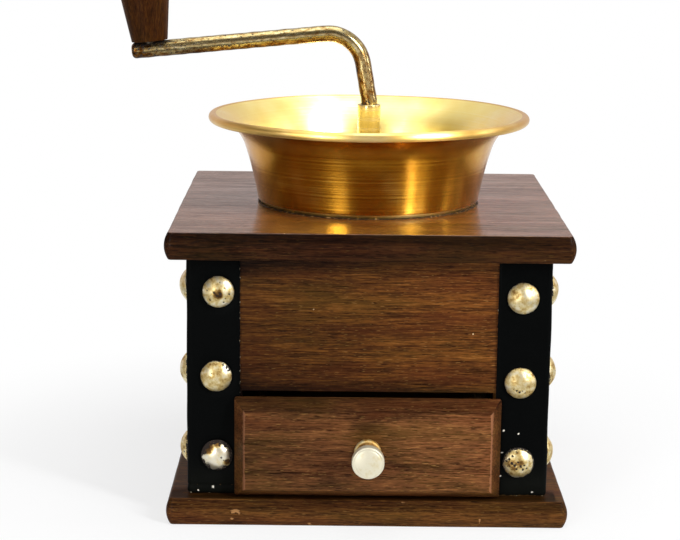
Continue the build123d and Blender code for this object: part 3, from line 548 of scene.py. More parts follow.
def boardGrid(node, seed, hole, shades):
    # rows run from the middle over the top face, round the edge and back under; columns follow the outline
    look = boardShape
    low, high = boxMm(node)
    half, middle = high[0], (low[2] + high[2]) / 2
    reach = (high[2] - low[2]) / 2
    arcRadius = (reach ** 2 + look["bulge"] ** 2) / (2 * look["bulge"])
    rise = np.linspace(reach, -reach, look["arcSteps"] + 1)[1:-1]
    inset = arcRadius - np.sqrt(arcRadius ** 2 - rise ** 2)
    edge = [(look["faceBand"], high[2], 0), (look["bulge"], high[2], look["edgeRound"])]
    edge += [(a, middle + b, 0) for a, b in zip(inset, rise)]
    edge += [(look["bulge"], low[2], look["edgeRound"]), (look["faceBand"], low[2], 0)]
    line = fillLine(roundLine(edge, 5), look["pitch"])
    paths = np.stack([
        ringPath(half - d, half - d, max(look["cornerRound"] + look["bulge"] - d, 0.5), look["perSide"],
                 look["perSide"], look["perCorner"])
        for d in line[:, 0]
    ])
    turn = np.arange(paths.shape[1]) / paths.shape[1]
    rim = np.concatenate([paths, np.broadcast_to(line[:, 1, None, None], paths.shape[:2] + (1,))], -1)
    nearEdge = bell(line[:, 0] - look["bulge"] * 0.6, 1.0)[:, None]
    outward = paths / np.linalg.norm(paths, axis=-1, keepdims=True)
    uneven = np.clip(1 + wobble(turn, look["wanderWaves"], seed), 0.1, 2)
    rim[..., :2] -= outward * (look["wander"] * nearEdge * uneven)[..., None]
    corner = bell(np.abs(line[:, 1] - middle) - reach + 0.35, look["wearBand"])
    corner *= bell(line[:, 0] - look["bulge"], look["wearReach"])
    wear = corner[:, None] * (look["wear"] + look["wear"] * wobble(turn, look["wearWaves"], seed + 1))
    climb = (line[:, 1] - low[2]) / (high[2] - low[2])
    edgeShade = np.interp(climb, look["shadeAt"], [shades[1], shades[1], shades[0], shades[0], 0.0])
    edgeShade = np.broadcast_to((edgeShade * (line[:, 0] < look["bulge"] + 0.3))[:, None], wear.shape)
    angle = np.arctan2(paths[0, :, 1], paths[0, :, 0])
    centre = np.stack([np.cos(angle), np.sin(angle)], -1) * hole
    share = np.linspace(0, 1, look["faceRings"] + 1)[:-1, None, None]
    faces = []
    for ring, level in ((rim[0], high[2]), (rim[-1], low[2])):
        flat = centre * (1 - share) + ring[:, :2] * share
        faces.append(np.concatenate([flat, np.full(flat.shape[:2] + (1,), level)], -1))
    still = np.zeros((look["faceRings"], wear.shape[1]))
    grid = np.concatenate([faces[0], rim, faces[1][::-1]])
    return grid, np.concatenate([still, wear, still]), np.concatenate([still, edgeShade, still])


grid, wear, shade = boardGrid("top_board", 11, boardShape["throat"], boardShape["topShade"])
putMesh("topBoard", grid, "case", topWood, ["top_board"], wrapRows=True,
        values={"wear": wear, "shade": shade})

baseTop = boxMm("base_board")[1][2]
grid, wear, shade = boardGrid("base_board", 23, boardShape["core"], boardShape["baseShade"])
look = baseMarks
front = grid[..., 1] < look["frontAt"]
ledge = (grid[..., 2] > baseTop - 0.1) & (grid[..., 0] < look["ledgeTo"]) & (grid[..., 0] > look["ledgeFrom"])
shade = np.maximum(shade, ledge * np.interp(-grid[..., 1], look["ledgeReach"], look["ledgeShade"]))
for across, height, halfWidth, halfHeight in baseChips:
    away = ((grid[..., 0] - across) / halfWidth) ** 2 + ((grid[..., 2] - height) / halfHeight) ** 2
    chip = np.exp(-away ** 2) * front
    wear = np.maximum(wear, look["chipWear"] * chip)
    grid[..., 1] += look["chipDepth"] * chip
putMesh("baseBoard", grid, "case", baseWood, ["base_board"],
        values={"wear": wear, "shade": shade})
print("boards ready")


# corner straps: an L section carried up the corner, pressed in round the studs and wavy along its cut edges

strapShape = {
    "leg": 18.6, "thick": 1.1, "cornerRound": 1.7, "pitch": 0.6, "rows": 160, "footGap": 0.1,
    "wave": 0.12, "press": 0.32, "pressWidth": 1.6, "crease": 3.0, "foldDepth": 0.25, "foldWidth": 0.5,
    "hemDrop": 0.45, "hemReach": 0.4, "edgeDrop": 0.3, "edgeReach": 0.35,
    "endWave": 0.16, "endReach": 1.5, "endWaves": 50, "ragged": 0.3, "raggedWaves": 9, "raggedShare": 0.006,
    "cutWidth": 0.6, "creaseWidth": 0.4, "scuffHeight": 9, "cutFray": 0.35, "creaseFray": 0.52,
}
strapDust = {  # across, height, radius of pale specks
    "front_left": [(-59.1, 10.8, 0.4), (-53.9, 12.0, 0.5), (-51.0, 12.6, 0.25)],
    "front_right": [(47.0, 25.4, 0.4), (47.4, 33.6, 0.45), (46.6, 17.0, 0.35), (52.5, 32.5, 0.3),
                    (58.0, 11.2, 0.4)],
}
studShape = {
    "dia": 11.0, "height": 3.0, "rim": 0.5, "sink": 0.25, "across": 52.5, "perLeg": 3, "rings": 34,
    "segments": 72, "drift": 0.5, "tilt": 0.03, "flats": 0.05, "pitEdge": 0.25, "pitDepth": 0.12,
    "pitDark": 0.45, "eaten": 0.12, "eatenWaves": 14,
    "chancePits": 7, "chanceSpread": 0.5, "chanceSize": (0.15, 0.4), "chanceWear": (-0.08, 0.04),
}
studLow, studHigh = boxMm("strap_studs")
studRadius = studShape["dia"] / 2
studLevels = np.linspace(studLow[2] + studRadius, studHigh[2] - studRadius, studShape["perLeg"])


def strapGrid(side, signX, signY, seed, creased, frayed):
    # rows climb the corner; columns follow the outer skin along both legs and come back along the case
    look = strapShape
    low, high = boxMm("corner_strap_" + side)
    half = max(abs(low[0]), abs(high[0]))
    foot = baseTop + look["footGap"]
    outer = fillLine(roundLine([
        (half - look["leg"], half, 0), (half, half, look["cornerRound"]), (half, half - look["leg"], 0),
    ], 8), look["pitch"])
    run = lineLength(outer)
    tangent, normal = directions(outer)
    level = np.linspace(foot, high[2], look["rows"])
    toEdge = np.minimum(run, run[-1] - run)
    share, climb = run / run[-1], (level - foot) / (high[2] - foot)
    wave = wobble(share[None] * 0.5 + climb[:, None] * 1.7, 3, seed) * look["wave"] - look["wave"]
    onFront = outer[:, 1] > outer[:, 0]
    faceAlong = np.where(onFront, outer[:, 0], outer[:, 1])[None] - studShape["across"]
    gap = np.abs(level[:, None] - studLevels[None]).min(1)
    away = np.sqrt(faceAlong ** 2 + gap[:, None] ** 2)
    press = look["press"] * bell(away - studRadius, look["pressWidth"])
    fold = creased * look["foldDepth"] * bell(level - foot - look["crease"], look["foldWidth"])[:, None]
    hem = look["hemDrop"] * np.exp(-(level - foot) / look["hemReach"])[:, None]
    drop = look["edgeDrop"] * np.exp(-toEdge / look["edgeReach"])
    skin = outer[None] + normal[None] * (wave - press - fold - hem - drop)[..., None]
    nearStart, nearEnd = (np.exp(-far / look["endReach"])[None] for far in (run, run[-1] - run))
    ends = nearStart * wobble(climb, look["endWaves"], seed + 2)[:, None]
    ends = ends - nearEnd * wobble(climb, look["endWaves"], seed + 3)[:, None]
    skin = skin + tangent[None] * (look["endWave"] * ends)[..., None]
    back = np.broadcast_to((outer - normal * look["thick"])[::-1], (look["rows"],) + outer.shape)
    section = np.concatenate([skin, back], 1) * [signX, signY]
    shape = section.shape[:2]
    ragged = look["ragged"] * np.abs(wobble(np.linspace(0, 1, shape[1]), look["raggedWaves"], seed + 4))
    heights = level[:, None] + np.exp(-climb / look["raggedShare"])[:, None] * ragged
    cut = np.broadcast_to(np.exp(-np.concatenate([toEdge, toEdge[::-1]]) / look["cutWidth"]), shape)
    lowEdge = np.exp(-(level - foot) / look["cutWidth"])[:, None]
    line = bell(level - foot - look["crease"], look["creaseWidth"])[:, None]
    onFace = np.concatenate([onFront, onFront[::-1]])
    dust = sum((
        np.exp(-(((section[..., 0] - across) ** 2 + (heights - height) ** 2) / radius ** 2)) * onFace
        for across, height, radius in strapDust.get(side, [])
    ), np.zeros(shape))
    values = {
        "dust": dust,
        "edge": np.maximum(np.maximum(cut, lowEdge), creased * line),
        "low": np.broadcast_to(bell(level - foot, look["scuffHeight"])[:, None], shape),
        "fray": np.maximum(look["cutFray"] * cut,
                           np.maximum(frayed * lowEdge, look["creaseFray"] * creased * line)),
    }
    return np.concatenate([section, heights[..., None]], -1), values


strapSides = {  # signs of x and y at the corner, then how far the foot is creased and frayed
    "front_left": (-1, -1, 1.0, 0.3), "front_right": (1, -1, 0.0, 0.75),
    "back_left": (-1, 1, 0.0, 0.4), "back_right": (1, 1, 0.0, 0.5),
}
for order, (side, (signX, signY, creased, frayed)) in enumerate(strapSides.items()):
    grid, values = strapGrid(side, signX, signY, 40 + 7 * order, creased, frayed)
    putMesh("cornerStrap_" + side, grid, "case", leather, ["corner_strap_" + side],
            values=values)
print("straps ready")


# studs: shallow caps nailed by hand, each with its own place, flats, pits and wear

studPlaces = {  # face, side and level, then the offset across and up
    ("front", -1, 2): (0.7, 0.4), ("front", -1, 1): (-0.1, -0.35), ("front", -1, 0): (0.1, 0.35),
    ("front", 1, 2): (0.35, -0.85), ("front", 1, 1): (0.15, -1.75), ("front", 1, 0): (0.25, -1.4),
}
studPits = {  # across, up, radius
    ("front", -1, 2): [(-2.7, -2.5, 0.45), (1.9, -3.3, 0.35), (3.9, -0.4, 0.4), (2.6, -1.9, 0.3),
                       (-3.8, 0.8, 0.3), (0.6, 3.6, 0.25), (2.2, 1.6, 0.25), (-1.3, 0.1, 0.5),
                       (0.9, -0.2, 0.5), (-0.3, -1.0, 0.35)],
    ("front", -1, 1): [(2.4, 4.3, 0.45), (3.6, 3.4, 0.5), (4.4, 2.2, 0.4), (-1.5, 1.5, 0.25),
                       (1.6, 2.6, 0.2)],
    ("front", -1, 0): [(-4.4, 1.4, 1.0), (-3.4, 3.3, 0.9), (-2.0, 4.4, 0.7), (4.9, -2.0, 0.7),
                       (4.7, 1.8, 0.6), (1.6, -0.2, 0.4), (3.2, -1.6, 0.45), (2.4, -1.4, 0.3),
                       (3.9, -1.2, 0.35), (-4.8, -1.8, 0.6), (1.0, 3.9, 0.4), (2.9, 3.6, 0.4)],
    ("front", 1, 2): [(-1.6, -2.4, 0.18), (0.8, -3.0, 0.16), (2.4, -1.2, 0.15), (-2.8, 0.6, 0.15)],
    ("front", 1, 1): [(-1.4, -2.2, 0.4), (-0.4, -2.7, 0.45), (0.6, -2.3, 0.3), (-2.4, -1.5, 0.35),
                      (1.5, -3.0, 0.3)],
    ("front", 1, 0): [(-4.3, 1.0, 0.5), (-3.4, 1.7, 0.5), (-2.4, 0.4, 0.6), (-1.4, -0.2, 0.6),
                      (-0.3, 0.9, 0.45), (0.8, -0.6, 0.6), (1.9, -0.2, 0.4), (-3.6, -0.8, 0.5),
                      (-0.8, -1.6, 0.4), (1.4, -1.8, 0.5), (2.8, -1.4, 0.35), (-2.2, 2.9, 0.45),
                      (-0.9, 4.2, 0.35), (3.6, 1.0, 0.25)],
}
studWear = {  # across, up, radius, amount: below zero is browned, above zero is rubbed pale
    ("front", -1, 2): [(0.1, -0.2, 1.7, -0.5), (0.0, 0.0, 9.0, 0.0)],
    ("front", -1, 1): [(0.0, 0.0, 9.0, 0.02), (3.6, 2.8, 1.4, 0.3)],
    ("front", -1, 0): [(0.0, 0.0, 9.0, 0.24), (-3.2, 2.8, 2.3, -0.62), (0.2, 4.4, 1.3, -0.5),
                       (3.6, -2.2, 1.2, -0.45)],
    ("front", 1, 1): [(0.0, 0.0, 9.0, 0.04)],
    ("front", 1, 0): [(-1.0, 0.2, 3.0, -0.2), (0.0, 0.0, 9.0, 0.05)],
}
# width of the ragged dark edge
studEaten = {("front", -1, 0): 1.3, ("front", 1, 0): 0.6, ("front", -1, 1): 0.25}
studFaces = {  # along the face, then out of it
    "front": ((1, 0, 0), (0, -1, 0)), "back": ((-1, 0, 0), (0, 1, 0)),
    "left": ((0, -1, 0), (-1, 0, 0)), "right": ((0, 1, 0), (1, 0, 0)),
}
look = studShape
studSpots = [
    (face, side, level) for face in studFaces for side in (-1, 1) for level in range(look["perLeg"])
]
draw = np.random.default_rng(5)
dome = look["height"] - look["rim"]
ball = (studRadius ** 2 + dome ** 2) / (2 * dome)
reach = studRadius * np.sin(np.linspace(0.02, 1, look["rings"] - 3) * np.pi / 2 * 0.93)
lift = look["rim"] + np.sqrt(ball ** 2 - reach ** 2) - (ball - dome)
reach = np.concatenate([reach, [studRadius, studRadius * 0.995, studRadius * 0.96]])
lift = np.concatenate([lift, [look["rim"] * 0.75, look["rim"] * 0.2, -look["sink"]]])
angle = np.arange(look["segments"]) / look["segments"] * 2 * np.pi
u, v = reach[:, None] * np.cos(angle), reach[:, None] * np.sin(angle)
caps, pitValues, wearValues = [], [], []
for spot in studSpots:
    face, side, level = spot
    along, outward = (np.array(direction, float) for direction in studFaces[face])
    drift = studPlaces.get(spot, draw.uniform(-look["drift"], look["drift"], 2))
    chance = np.column_stack([
        draw.normal(0, look["chanceSpread"], (look["chancePits"], 2)) * studRadius,
        draw.uniform(*look["chanceSize"], look["chancePits"]),
    ])
    pit, wear = np.zeros(u.shape), np.full(u.shape, draw.uniform(*look["chanceWear"]))
    for across, up, size in studPits.get(spot, chance):
        pit = np.maximum(pit, np.clip((size - np.hypot(u - across, v - up)) / look["pitEdge"] + 0.5, 0, 1))
    for across, up, size, amount in studWear.get(spot, []):
        wear = wear + amount * np.exp(-(((u - across) ** 2 + (v - up) ** 2) / size ** 2) ** 2)
    ragged = 0.7 + 0.6 * wobble(angle / (2 * np.pi), look["eatenWaves"], 70 + level)
    bite = studEaten.get(spot, look["eaten"]) * ragged + (reach[:, None] - studRadius)
    pit = np.maximum(pit, np.clip(bite / look["pitEdge"] + 0.5, 0, 1))
    tilt = draw.uniform(-look["tilt"], look["tilt"], 2)
    height = lift[:, None] - look["pitDepth"] * pit + tilt[0] * u + tilt[1] * v
    height = height - look["flats"] * (1 + np.sin(u * 1.1 + v * 0.8 + draw.uniform(0, 6)))
    height = np.minimum(height, look["height"])
    cap = along * (side * look["across"] + drift[0] + u[..., None])
    cap = cap + outward * (studHigh[0] - look["height"] + height)[..., None]
    cap[..., 2] += studLevels[level] + drift[1] + v
    caps.append(cap)
    pitValues.append(look["pitDark"] * pit)
    wearValues.append(wear)
putMesh("strapStuds", np.stack(caps), "case", studBrass, ["strap_studs"],
        values={"pit": np.stack(pitValues), "wear": np.stack(wearValues)})
print("studs ready")


# drawer front: a rounded rectangle carries the land, the steep bevel and the rounded ridge of the field

drawerShape = {
    "bevelWidth": 3.5, "bevelDepth": 5.6, "ridgeRound": 0.8, "arrisRound": 0.4, "backRound": 0.3,
    "cornerRound": 0.8, "backBand": 6.0, "fieldBand": 9.0,
    "countX": 170, "countZ": 70, "perCorner": 5, "pitch": 0.6,
    "leftShade": -0.05, "rightShade": 0.75, "lowShade": -0.2, "topShade": 0.42, "ridgeShade": 0.3,
    "ridgeWear": 0.8, "ridgeWidth": 0.55, "ridgeDrop": 0.06, "arrisWear": 0.1, "arrisWidth": 0.6,
    "unevenWear": 0.1,
    "worn": [(1, 1, 0.5), (-1, -1, 0.35), (-1, 1, 0.1), (1, -1, 0.15)],  # corner and how far it is bare
    "wornReach": 4.0,
}
look = drawerShape
low, high = boxMm("drawer_front")
halfX, halfZ = (high[0] - low[0]) / 2, (high[2] - low[2]) / 2
midZ = (high[2] + low[2]) / 2
landY = low[1] + look["bevelDepth"]
line = fillLine(roundLine([
    (look["backBand"], high[1], 0), (0, high[1], look["backRound"]), (0, landY, look["arrisRound"]),
    (look["bevelWidth"], low[1], look["ridgeRound"]), (look["fieldBand"], low[1], 0),
], 6), look["pitch"])
paths = np.stack([
    ringPath(halfX - d, halfZ - d, max(look["cornerRound"] - 0.2 * d, 0.3),
             look["countX"], look["countZ"], look["perCorner"])
    for d in line[:, 0]
])
turn = np.arange(paths.shape[1]) / paths.shape[1]
grid = np.stack([paths[..., 0], np.broadcast_to(line[:, 1, None], paths.shape[:2]), paths[..., 1] + midZ], -1)
ahead = line[:, 1] < landY + 0.6
ridge = bell(line[:, 0] - look["bevelWidth"], look["ridgeWidth"]) * ahead
arris = bell(line[:, 1] - landY, look["arrisWidth"]) * (line[:, 0] < 1.0)
bevel = np.clip(1.15 - line[:, 0] / look["bevelWidth"], 0, 1) ** 0.7 * ahead
x, z = paths[line[:, 0].argmin()].T  # the outline
atLeft, atRight = (x < 0.5 - halfX).astype(float), (x > halfX - 0.5).astype(float)
atFoot, atTop = (z < 0.5 - halfZ).astype(float), (z > halfZ - 0.5).astype(float)
corners = sum(
    amount * np.exp(-((x - signX * halfX) ** 2 + (z - signZ * halfZ) ** 2) / look["wornReach"] ** 2)
    for signX, signZ, amount in look["worn"]
)
onRidge = look["ridgeWear"] * (atLeft + atRight) + corners + look["unevenWear"] * wobble(turn, 70, 3)
onArris = look["arrisWear"] + corners + look["unevenWear"] * wobble(turn, 80, 4)
wear = ridge[:, None] * onRidge + arris[:, None] * onArris
# painted shade on the bevels, heaviest on the right and top; below zero it is painted light; ridgeShade
# paints a dark line along the top ridge
shade = look["leftShade"] * atLeft + look["rightShade"] * atRight
shade = shade + look["lowShade"] * atFoot + look["topShade"] * atTop
shade = bevel[:, None] * shade + look["ridgeShade"] * ridge[:, None] * atTop
grid[..., 1] += look["ridgeDrop"] * ridge[:, None] * (1 + wobble(turn, 60, 5))
putMesh("drawerFront", grid, "drawer", drawerWood, ["drawer_front"],
        values={"wear": wear, "shade": shade})


# drawer knob: turned foot, waisted neck and a flat crowned head with faint turning rings

drawerKnobShape = {
    "head": 5.55, "headThick": 4.6, "crown": 1.0, "crownInset": 0.9, "neck": 2.5, "neckSag": 0.4, "foot": 4.7,
    "footThick": 1.5, "footRound": 0.25, "lip": 0.6, "edgeRound": 0.5, "core": 0.05,
    "segments": 96, "pitch": 0.5,
    "ring": 0.9, "ringDepth": 0.006, "groove": 4.6, "grooveDepth": 0.06, "grooveWidth": 0.15,
    "headWear": 0.4, "neckWear": -0.24,
}
look = drawerKnobShape
low, high = boxMm("drawer_knob")
length = high[1] - low[1]
headBack = length - look["headThick"]
t = np.linspace(0, 1, 16)[1:-1]
neckAcross = look["foot"] + (look["head"] - look["foot"]) * t
neckAcross = neckAcross - np.sin(np.pi * t) ** 0.8 * (look["foot"] - look["neck"] + look["neckSag"])
neckUp = look["footThick"] + (headBack - look["footThick"]) * t
crownAcross = np.linspace(look["head"] - look["crownInset"], look["core"], 40)
ball = (look["head"] ** 2 + look["crown"] ** 2) / (2 * look["crown"])
crownUp = np.sqrt(ball ** 2 - crownAcross ** 2) - (ball - look["crown"]) + length - look["crown"]
crownUp = crownUp - look["ringDepth"] * (1 + np.cos(crownAcross * 2 * np.pi / look["ring"]))
crownUp = crownUp - look["grooveDepth"] * bell(crownAcross - look["groove"], look["grooveWidth"])
profile = fillLine(roundLine(
    [(look["core"], 0.0, 0), (look["foot"], 0.0, look["footRound"]),
     (look["foot"], look["footThick"], look["edgeRound"])]
    + [(a, b, 0) for a, b in zip(neckAcross, neckUp)]
    + [(look["head"], headBack, look["lip"]),
       (look["head"], length - look["crown"] + 0.35, look["edgeRound"])]
    + [(a, b, 0) for a, b in zip(crownAcross, crownUp)], 5), look["pitch"])
grid = spin(profile, look["segments"])
grid = np.stack([grid[..., 0], high[1] - grid[..., 2], grid[..., 1] + (low[2] + high[2]) / 2], -1)
onHead, onNeck = profile[:, 1] > headBack + 0.4, profile[:, 1] > look["footThick"] + 0.5
rubbed = np.where(onHead, look["headWear"], np.where(onNeck, look["neckWear"], 0.0))
putMesh("drawerKnob", grid, "drawer", knobBrass, ["drawer_knob"],
        values={"wear": rubbed[:, None]})
print("drawer ready")


# hopper: the wall leans, then flares in tangent arcs and rolls over into the bead, a little out of round

hopperShape = {
    "wall": 1.0, "neck": 41.0, "wallLean": 10.0, "waist": 45.7, "waistLevel": 21.0, "bead": 1.65,
    "lipLean": 15.0, "footRound": 2.5, "throat": 24.0, "footSteps": 8, "wallSteps": 26, "flareSteps": 24,
    "beadSteps": 40, "segments": 320, "outOfRound": 0.18, "rimDip": 0.22,
    "beadInside": 0.4, "footInside": 0.5, "footBand": 1.3, "lipReach": 0.8,
}


def arcThrough(start, heading, end, steps):
    # points of the arc that leaves start along heading and reaches end, and its heading there
    start, heading, end = (np.array(p, float) for p in (start, heading, end))
    chord = end - start
    side = np.array([-heading[1], heading[0]])
    bend = 2 * (chord @ side) / (chord @ chord)
    sweep = 2 * math.atan2(chord @ side, chord @ heading)
    t = np.linspace(0, 1, steps + 1)[:, None] * sweep
    points = start + (np.sin(t) * heading + (1 - np.cos(t)) * side) / bend
    return points, math.cos(sweep) * heading + math.sin(sweep) * side


look = hopperShape
low, high = boxMm("hopper")
seat, rimTop, rimRadius = low[2], high[2], high[0]
lean, lip = math.radians(look["wallLean"]), math.radians(look["lipLean"])
beadSpot = np.array([rimRadius - look["bead"], rimTop - look["bead"]])
lipSpot = beadSpot + (look["bead"] - look["wall"]) * np.array([-math.sin(lip), math.cos(lip)])
footSpot = (look["neck"] - look["footRound"] * math.cos(lean), seat)
neckSpot = (look["neck"], seat + look["footRound"] * (1 - math.sin(lean)))
waistSpot = (look["waist"], seat + look["waistLevel"])
foot = arcThrough(footSpot, (1, 0), neckSpot, look["footSteps"])[0]
wall, heading = arcThrough(foot[-1], (math.sin(lean), math.cos(lean)), waistSpot, look["wallSteps"])
flare = arcThrough(wall[-1], heading, lipSpot, look["flareSteps"])[0]
outer = np.concatenate([[(look["throat"], seat)], foot, wall[1:], flare[1:]])
inner = outer + directions(outer)[1] * look["wall"]
inner[:2, 1] = seat + look["wall"]
inner[0, 0] = look["throat"]
outer, inner = (
    side[np.linalg.norm(side - beadSpot, axis=1) > look["bead"] * 1.03] for side in (outer, inner)
)
turnFrom, turnTo = (math.atan2(*(side[-1] - beadSpot)[::-1]) % (2 * math.pi) for side in (outer, inner))
angle = np.linspace(turnFrom, turnTo + 2 * math.pi, look["beadSteps"] + 1)[1:-1, None]
bead = beadSpot + look["bead"] * np.concatenate([np.cos(angle), np.sin(angle)], -1)
profile = np.concatenate([outer, bead, inner[::-1]])
# the inside share also paints light: the bead and the band round the foot take part of the paler inner brass
# as painted highlights
inside = np.concatenate([np.zeros(len(outer)), np.full(len(bead), look["beadInside"]), np.ones(len(inner))])
inside[profile[:, 1] < seat + look["footBand"]] = look["footInside"]
fromBead = np.linalg.norm(profile - beadSpot, axis=1) - look["bead"]
onLip = np.exp(-np.maximum(fromBead, 0) / look["lipReach"])
grid = spin(profile, look["segments"])
turn = np.arange(look["segments"]) / look["segments"]
climb = np.clip((profile[:, 1] - seat) / (rimTop - seat), 0, 1)[:, None]
pulled = look["outOfRound"] * climb ** 1.5 * (0.5 + 0.5 * wobble(turn, 5, 8))
grid[..., :2] *= (1 - pulled / rimRadius)[..., None]
grid[..., 2] -= look["rimDip"] * climb ** 3 * (0.5 + 0.5 * wobble(turn, 6, 9))
bowl = putMesh("hopperBowl", grid, "case", hopperBrass, ["hopper"], wrapRows=True, values={
    "along": (lineLength(profile) * mm)[:, None], "inside": inside[:, None], "lip": onLip[:, None],
})

# seam under the hopper's foot: a low ragged ring of old dirt and glue, near black as a painted shadow of the
# gap under the foot
seamShape = {
    "inside": 37.6, "outside": 41.0, "ragged": 0.35, "height": 0.35, "sunk": 0.03,
    "steps": 10, "segments": 480,
}
look = seamShape
turn = np.arange(look["segments"]) / look["segments"]
width = np.linspace(0, 1, look["steps"] + 1)[:, None]
spread = look["outside"] + look["ragged"] * wobble(turn, 150, 31)[None]
radius = look["inside"] + (spread - look["inside"]) * width
arch = np.sqrt(np.clip(1 - (2 * width - 1) ** 4, 0, 1))
rise = look["height"] * (0.8 + 0.4 * wobble(turn, 180, 32)[None]) * arch
rise = np.maximum(rise * (1 + 0.5 * wobble(turn * 3 + 2 * width, 60, 33)), 0)
grid = np.stack([
    radius * np.cos(2 * np.pi * turn), radius * np.sin(2 * np.pi * turn), seat - look["sunk"] + rise,
], -1)
putMesh("hopperSeam", grid, "case", glueAndShadowGrit, wrapRows=True)

# bearing tube: a plain bored cylinder with its upper edges eased
tubeShape = {"bore": 3.05, "ease": 0.35, "boreEase": 0.2, "segments": 72, "pitch": 1.5}
look = tubeShape
low, high = boxMm("bearing_tube")
profile = fillLine(roundLine([
    (look["bore"], low[2], 0), (high[0], low[2], 0), (high[0], high[2], look["ease"]),
    (look["bore"], high[2], look["boreEase"]),
], 5), look["pitch"])
putMesh("bearingTube", spin(profile, look["segments"]), "case", tubeBrass, ["bearing_tube"],
        wrapRows=True, values={"along": (lineLength(profile) * mm)[:, None]})
print("hopper ready")


# crank rod: a circle carried along straight runs and bends in the XZ plane, closed by a rounded end

crankShape = {
    "radius": 3.0, "neckGap": 1.0, "rise": 26.9, "lean": 10.0, "droop": 5.7, "neckBend": 9.0, "bend": 13.0,
    "tail": 6.9, "endRound": 1.6, "endSteps": 8, "segments": 48, "pitch": 0.6, "dents": 0.05, "dentWaves": 40,
    # amount and reach
    "endBrown": (0.2, 8.0), "endPits": (0.06, 20.0), "tubePits": (0.08, 1.5), "knobShadow": (0.4, 5.0),
    "underShade": 0.36, "rodTopShade": 0.05, "shaftShade": 0.1,
}
look = crankShape
tubeTop = boxMm("bearing_tube")[1][2]
lean, droop = math.radians(look["lean"]), math.radians(look["droop"])
hinge = next(joint for joint in frame["joints"] if joint["name"] == "knob_spin")
knobSpot = np.array(hinge["pos_m"]) / mm
neckLevel, cornerLevel = tubeTop + look["neckGap"], tubeTop + look["rise"]
cornerAcross = -(cornerLevel - neckLevel) * math.tan(lean)
tail = knobSpot[[0, 2]] - look["tail"] * np.array([math.cos(droop), math.sin(droop)])
route = fillLine(roundLine([
    (0, boxMm("crank_rod")[0][2], 0), (0, neckLevel, look["neckBend"]),
    (cornerAcross, cornerLevel, look["bend"]), (*tail, 0),
], 14), look["pitch"])
run = lineLength(route)
slope = directions(route)[0]
keep = run < run[-1] - look["endRound"]
bow = np.linspace(0, np.pi / 2, look["endSteps"])
endRun = run[-1] - look["endRound"] * (1 - np.sin(bow))
endRoute = route[-1] + (endRun - run[-1])[:, None] * slope[-1]
endThick = look["radius"] - look["endRound"] * (1 - np.cos(bow))
route = np.concatenate([route[keep], endRoute])
slope = np.concatenate([slope[keep], np.broadcast_to(slope[-1], endRoute.shape)])
run = np.concatenate([run[keep], endRun])
thick = np.concatenate([np.full(keep.sum(), look["radius"]), endThick])
angle = np.arange(look["segments"]) / look["segments"] * 2 * np.pi
dented = 1 + wobble(run / run[-1], look["dentWaves"], 61)[:, None] * np.cos(angle)[None]
thick = thick[:, None] - look["dents"] * dented
normal = np.stack([-slope[:, 1], slope[:, 0]], -1)
sideways = thick * np.cos(angle)
grid = np.stack([
    route[:, 0, None] + normal[:, 0, None] * sideways, thick * np.sin(angle),
    route[:, 1, None] + normal[:, 1, None] * sideways,
], -1)
toEnd, toTube = run[-1] - run, np.abs(route[:, 1] - tubeTop - 1.0)
onArm = (slope[:, 0] < -0.5)[:, None]
inBend, above = np.clip(np.cos(angle), 0, 1)[None], np.clip(-np.cos(angle), 0, 1)[None] * onArm
fades = ((toEnd, look["endBrown"]), (toEnd, look["endPits"]), (toTube, look["tubePits"]))
browned, endPits, tubePits = (amount * bell(far, reach)[:, None] for far, (amount, reach) in fades)
# painted shade: darker along the underside of the arm and the inner side of the bends, a little darker on the
# arm's top and on the upright shaft; the end is browned
wear = -browned - look["underShade"] * inBend ** 2 - look["rodTopShade"] * above - look["shaftShade"] * ~onArm
# painted shadow of the knob on the rod's top, carried in the pit attribute with the real pits
underKnob = np.exp(-((toEnd - look["tail"]) / look["knobShadow"][1]) ** 4)[:, None] * above ** 2
pit = endPits + tubePits + look["knobShadow"][0] * underKnob
putMesh("crankRod", grid, "crank", rodPlate, ["crank_rod"], values={
    "wear": wear, "pit": pit, "run": (run * mm)[:, None], "side": sideways * mm,
    "rise": thick * np.sin(angle) * mm,
})


# crank knob: a cone with a domed top, bored for its pin and sunk round the pin's head

crankKnobShape = {
    "foot": 6.6, "top": 11.25, "crown": 6.5, "start": 3.15, "height": 39.93, "sink": 4.2, "sinkDepth": 3.0,
    "sinkRound": 0.4, "bore": 2.05, "ease": 0.25, "segments": 80, "pitch": 1.2, "wear": 0.2, "wearReach": 0.6,
}
look = crankKnobShape
topLevel = look["start"] + look["height"]
shoulder = topLevel - look["crown"]
arc = np.linspace(0, np.pi / 2, 12)[:-1]
crownAcross = look["sink"] + (look["top"] - look["sink"]) * np.cos(arc)
crownUp = shoulder + look["crown"] * np.sin(arc)
profile = fillLine(roundLine(
    [(look["bore"], look["start"], 0), (look["foot"], look["start"], look["ease"])]
    + [(a, b, 0) for a, b in zip(crownAcross, crownUp)]
    + [(look["sink"], topLevel, look["sinkRound"]), (look["sink"], topLevel - look["sinkDepth"], 0),
       (look["bore"], topLevel - look["sinkDepth"], 0)], 5), look["pitch"])
grid = spin(profile, look["segments"])
axis = np.array(hinge["axis"]) / np.linalg.norm(hinge["axis"])
sideX = np.array([axis[2], 0.0, -axis[0]])
grid = knobSpot + grid[..., :1] * sideX + grid[..., 1:2] * [0, 1, 0] + grid[..., 2:] * axis
footWear = look["wear"] * bell(profile[:, 1] - look["start"], look["wearReach"])
putMesh("crankKnob", grid, "knob", knobWood, ["crank_knob"], wrapRows=True,
        values={"wear": footWear[:, None]})
print("crank ready")


# pieces kept as they are, with their own finishes

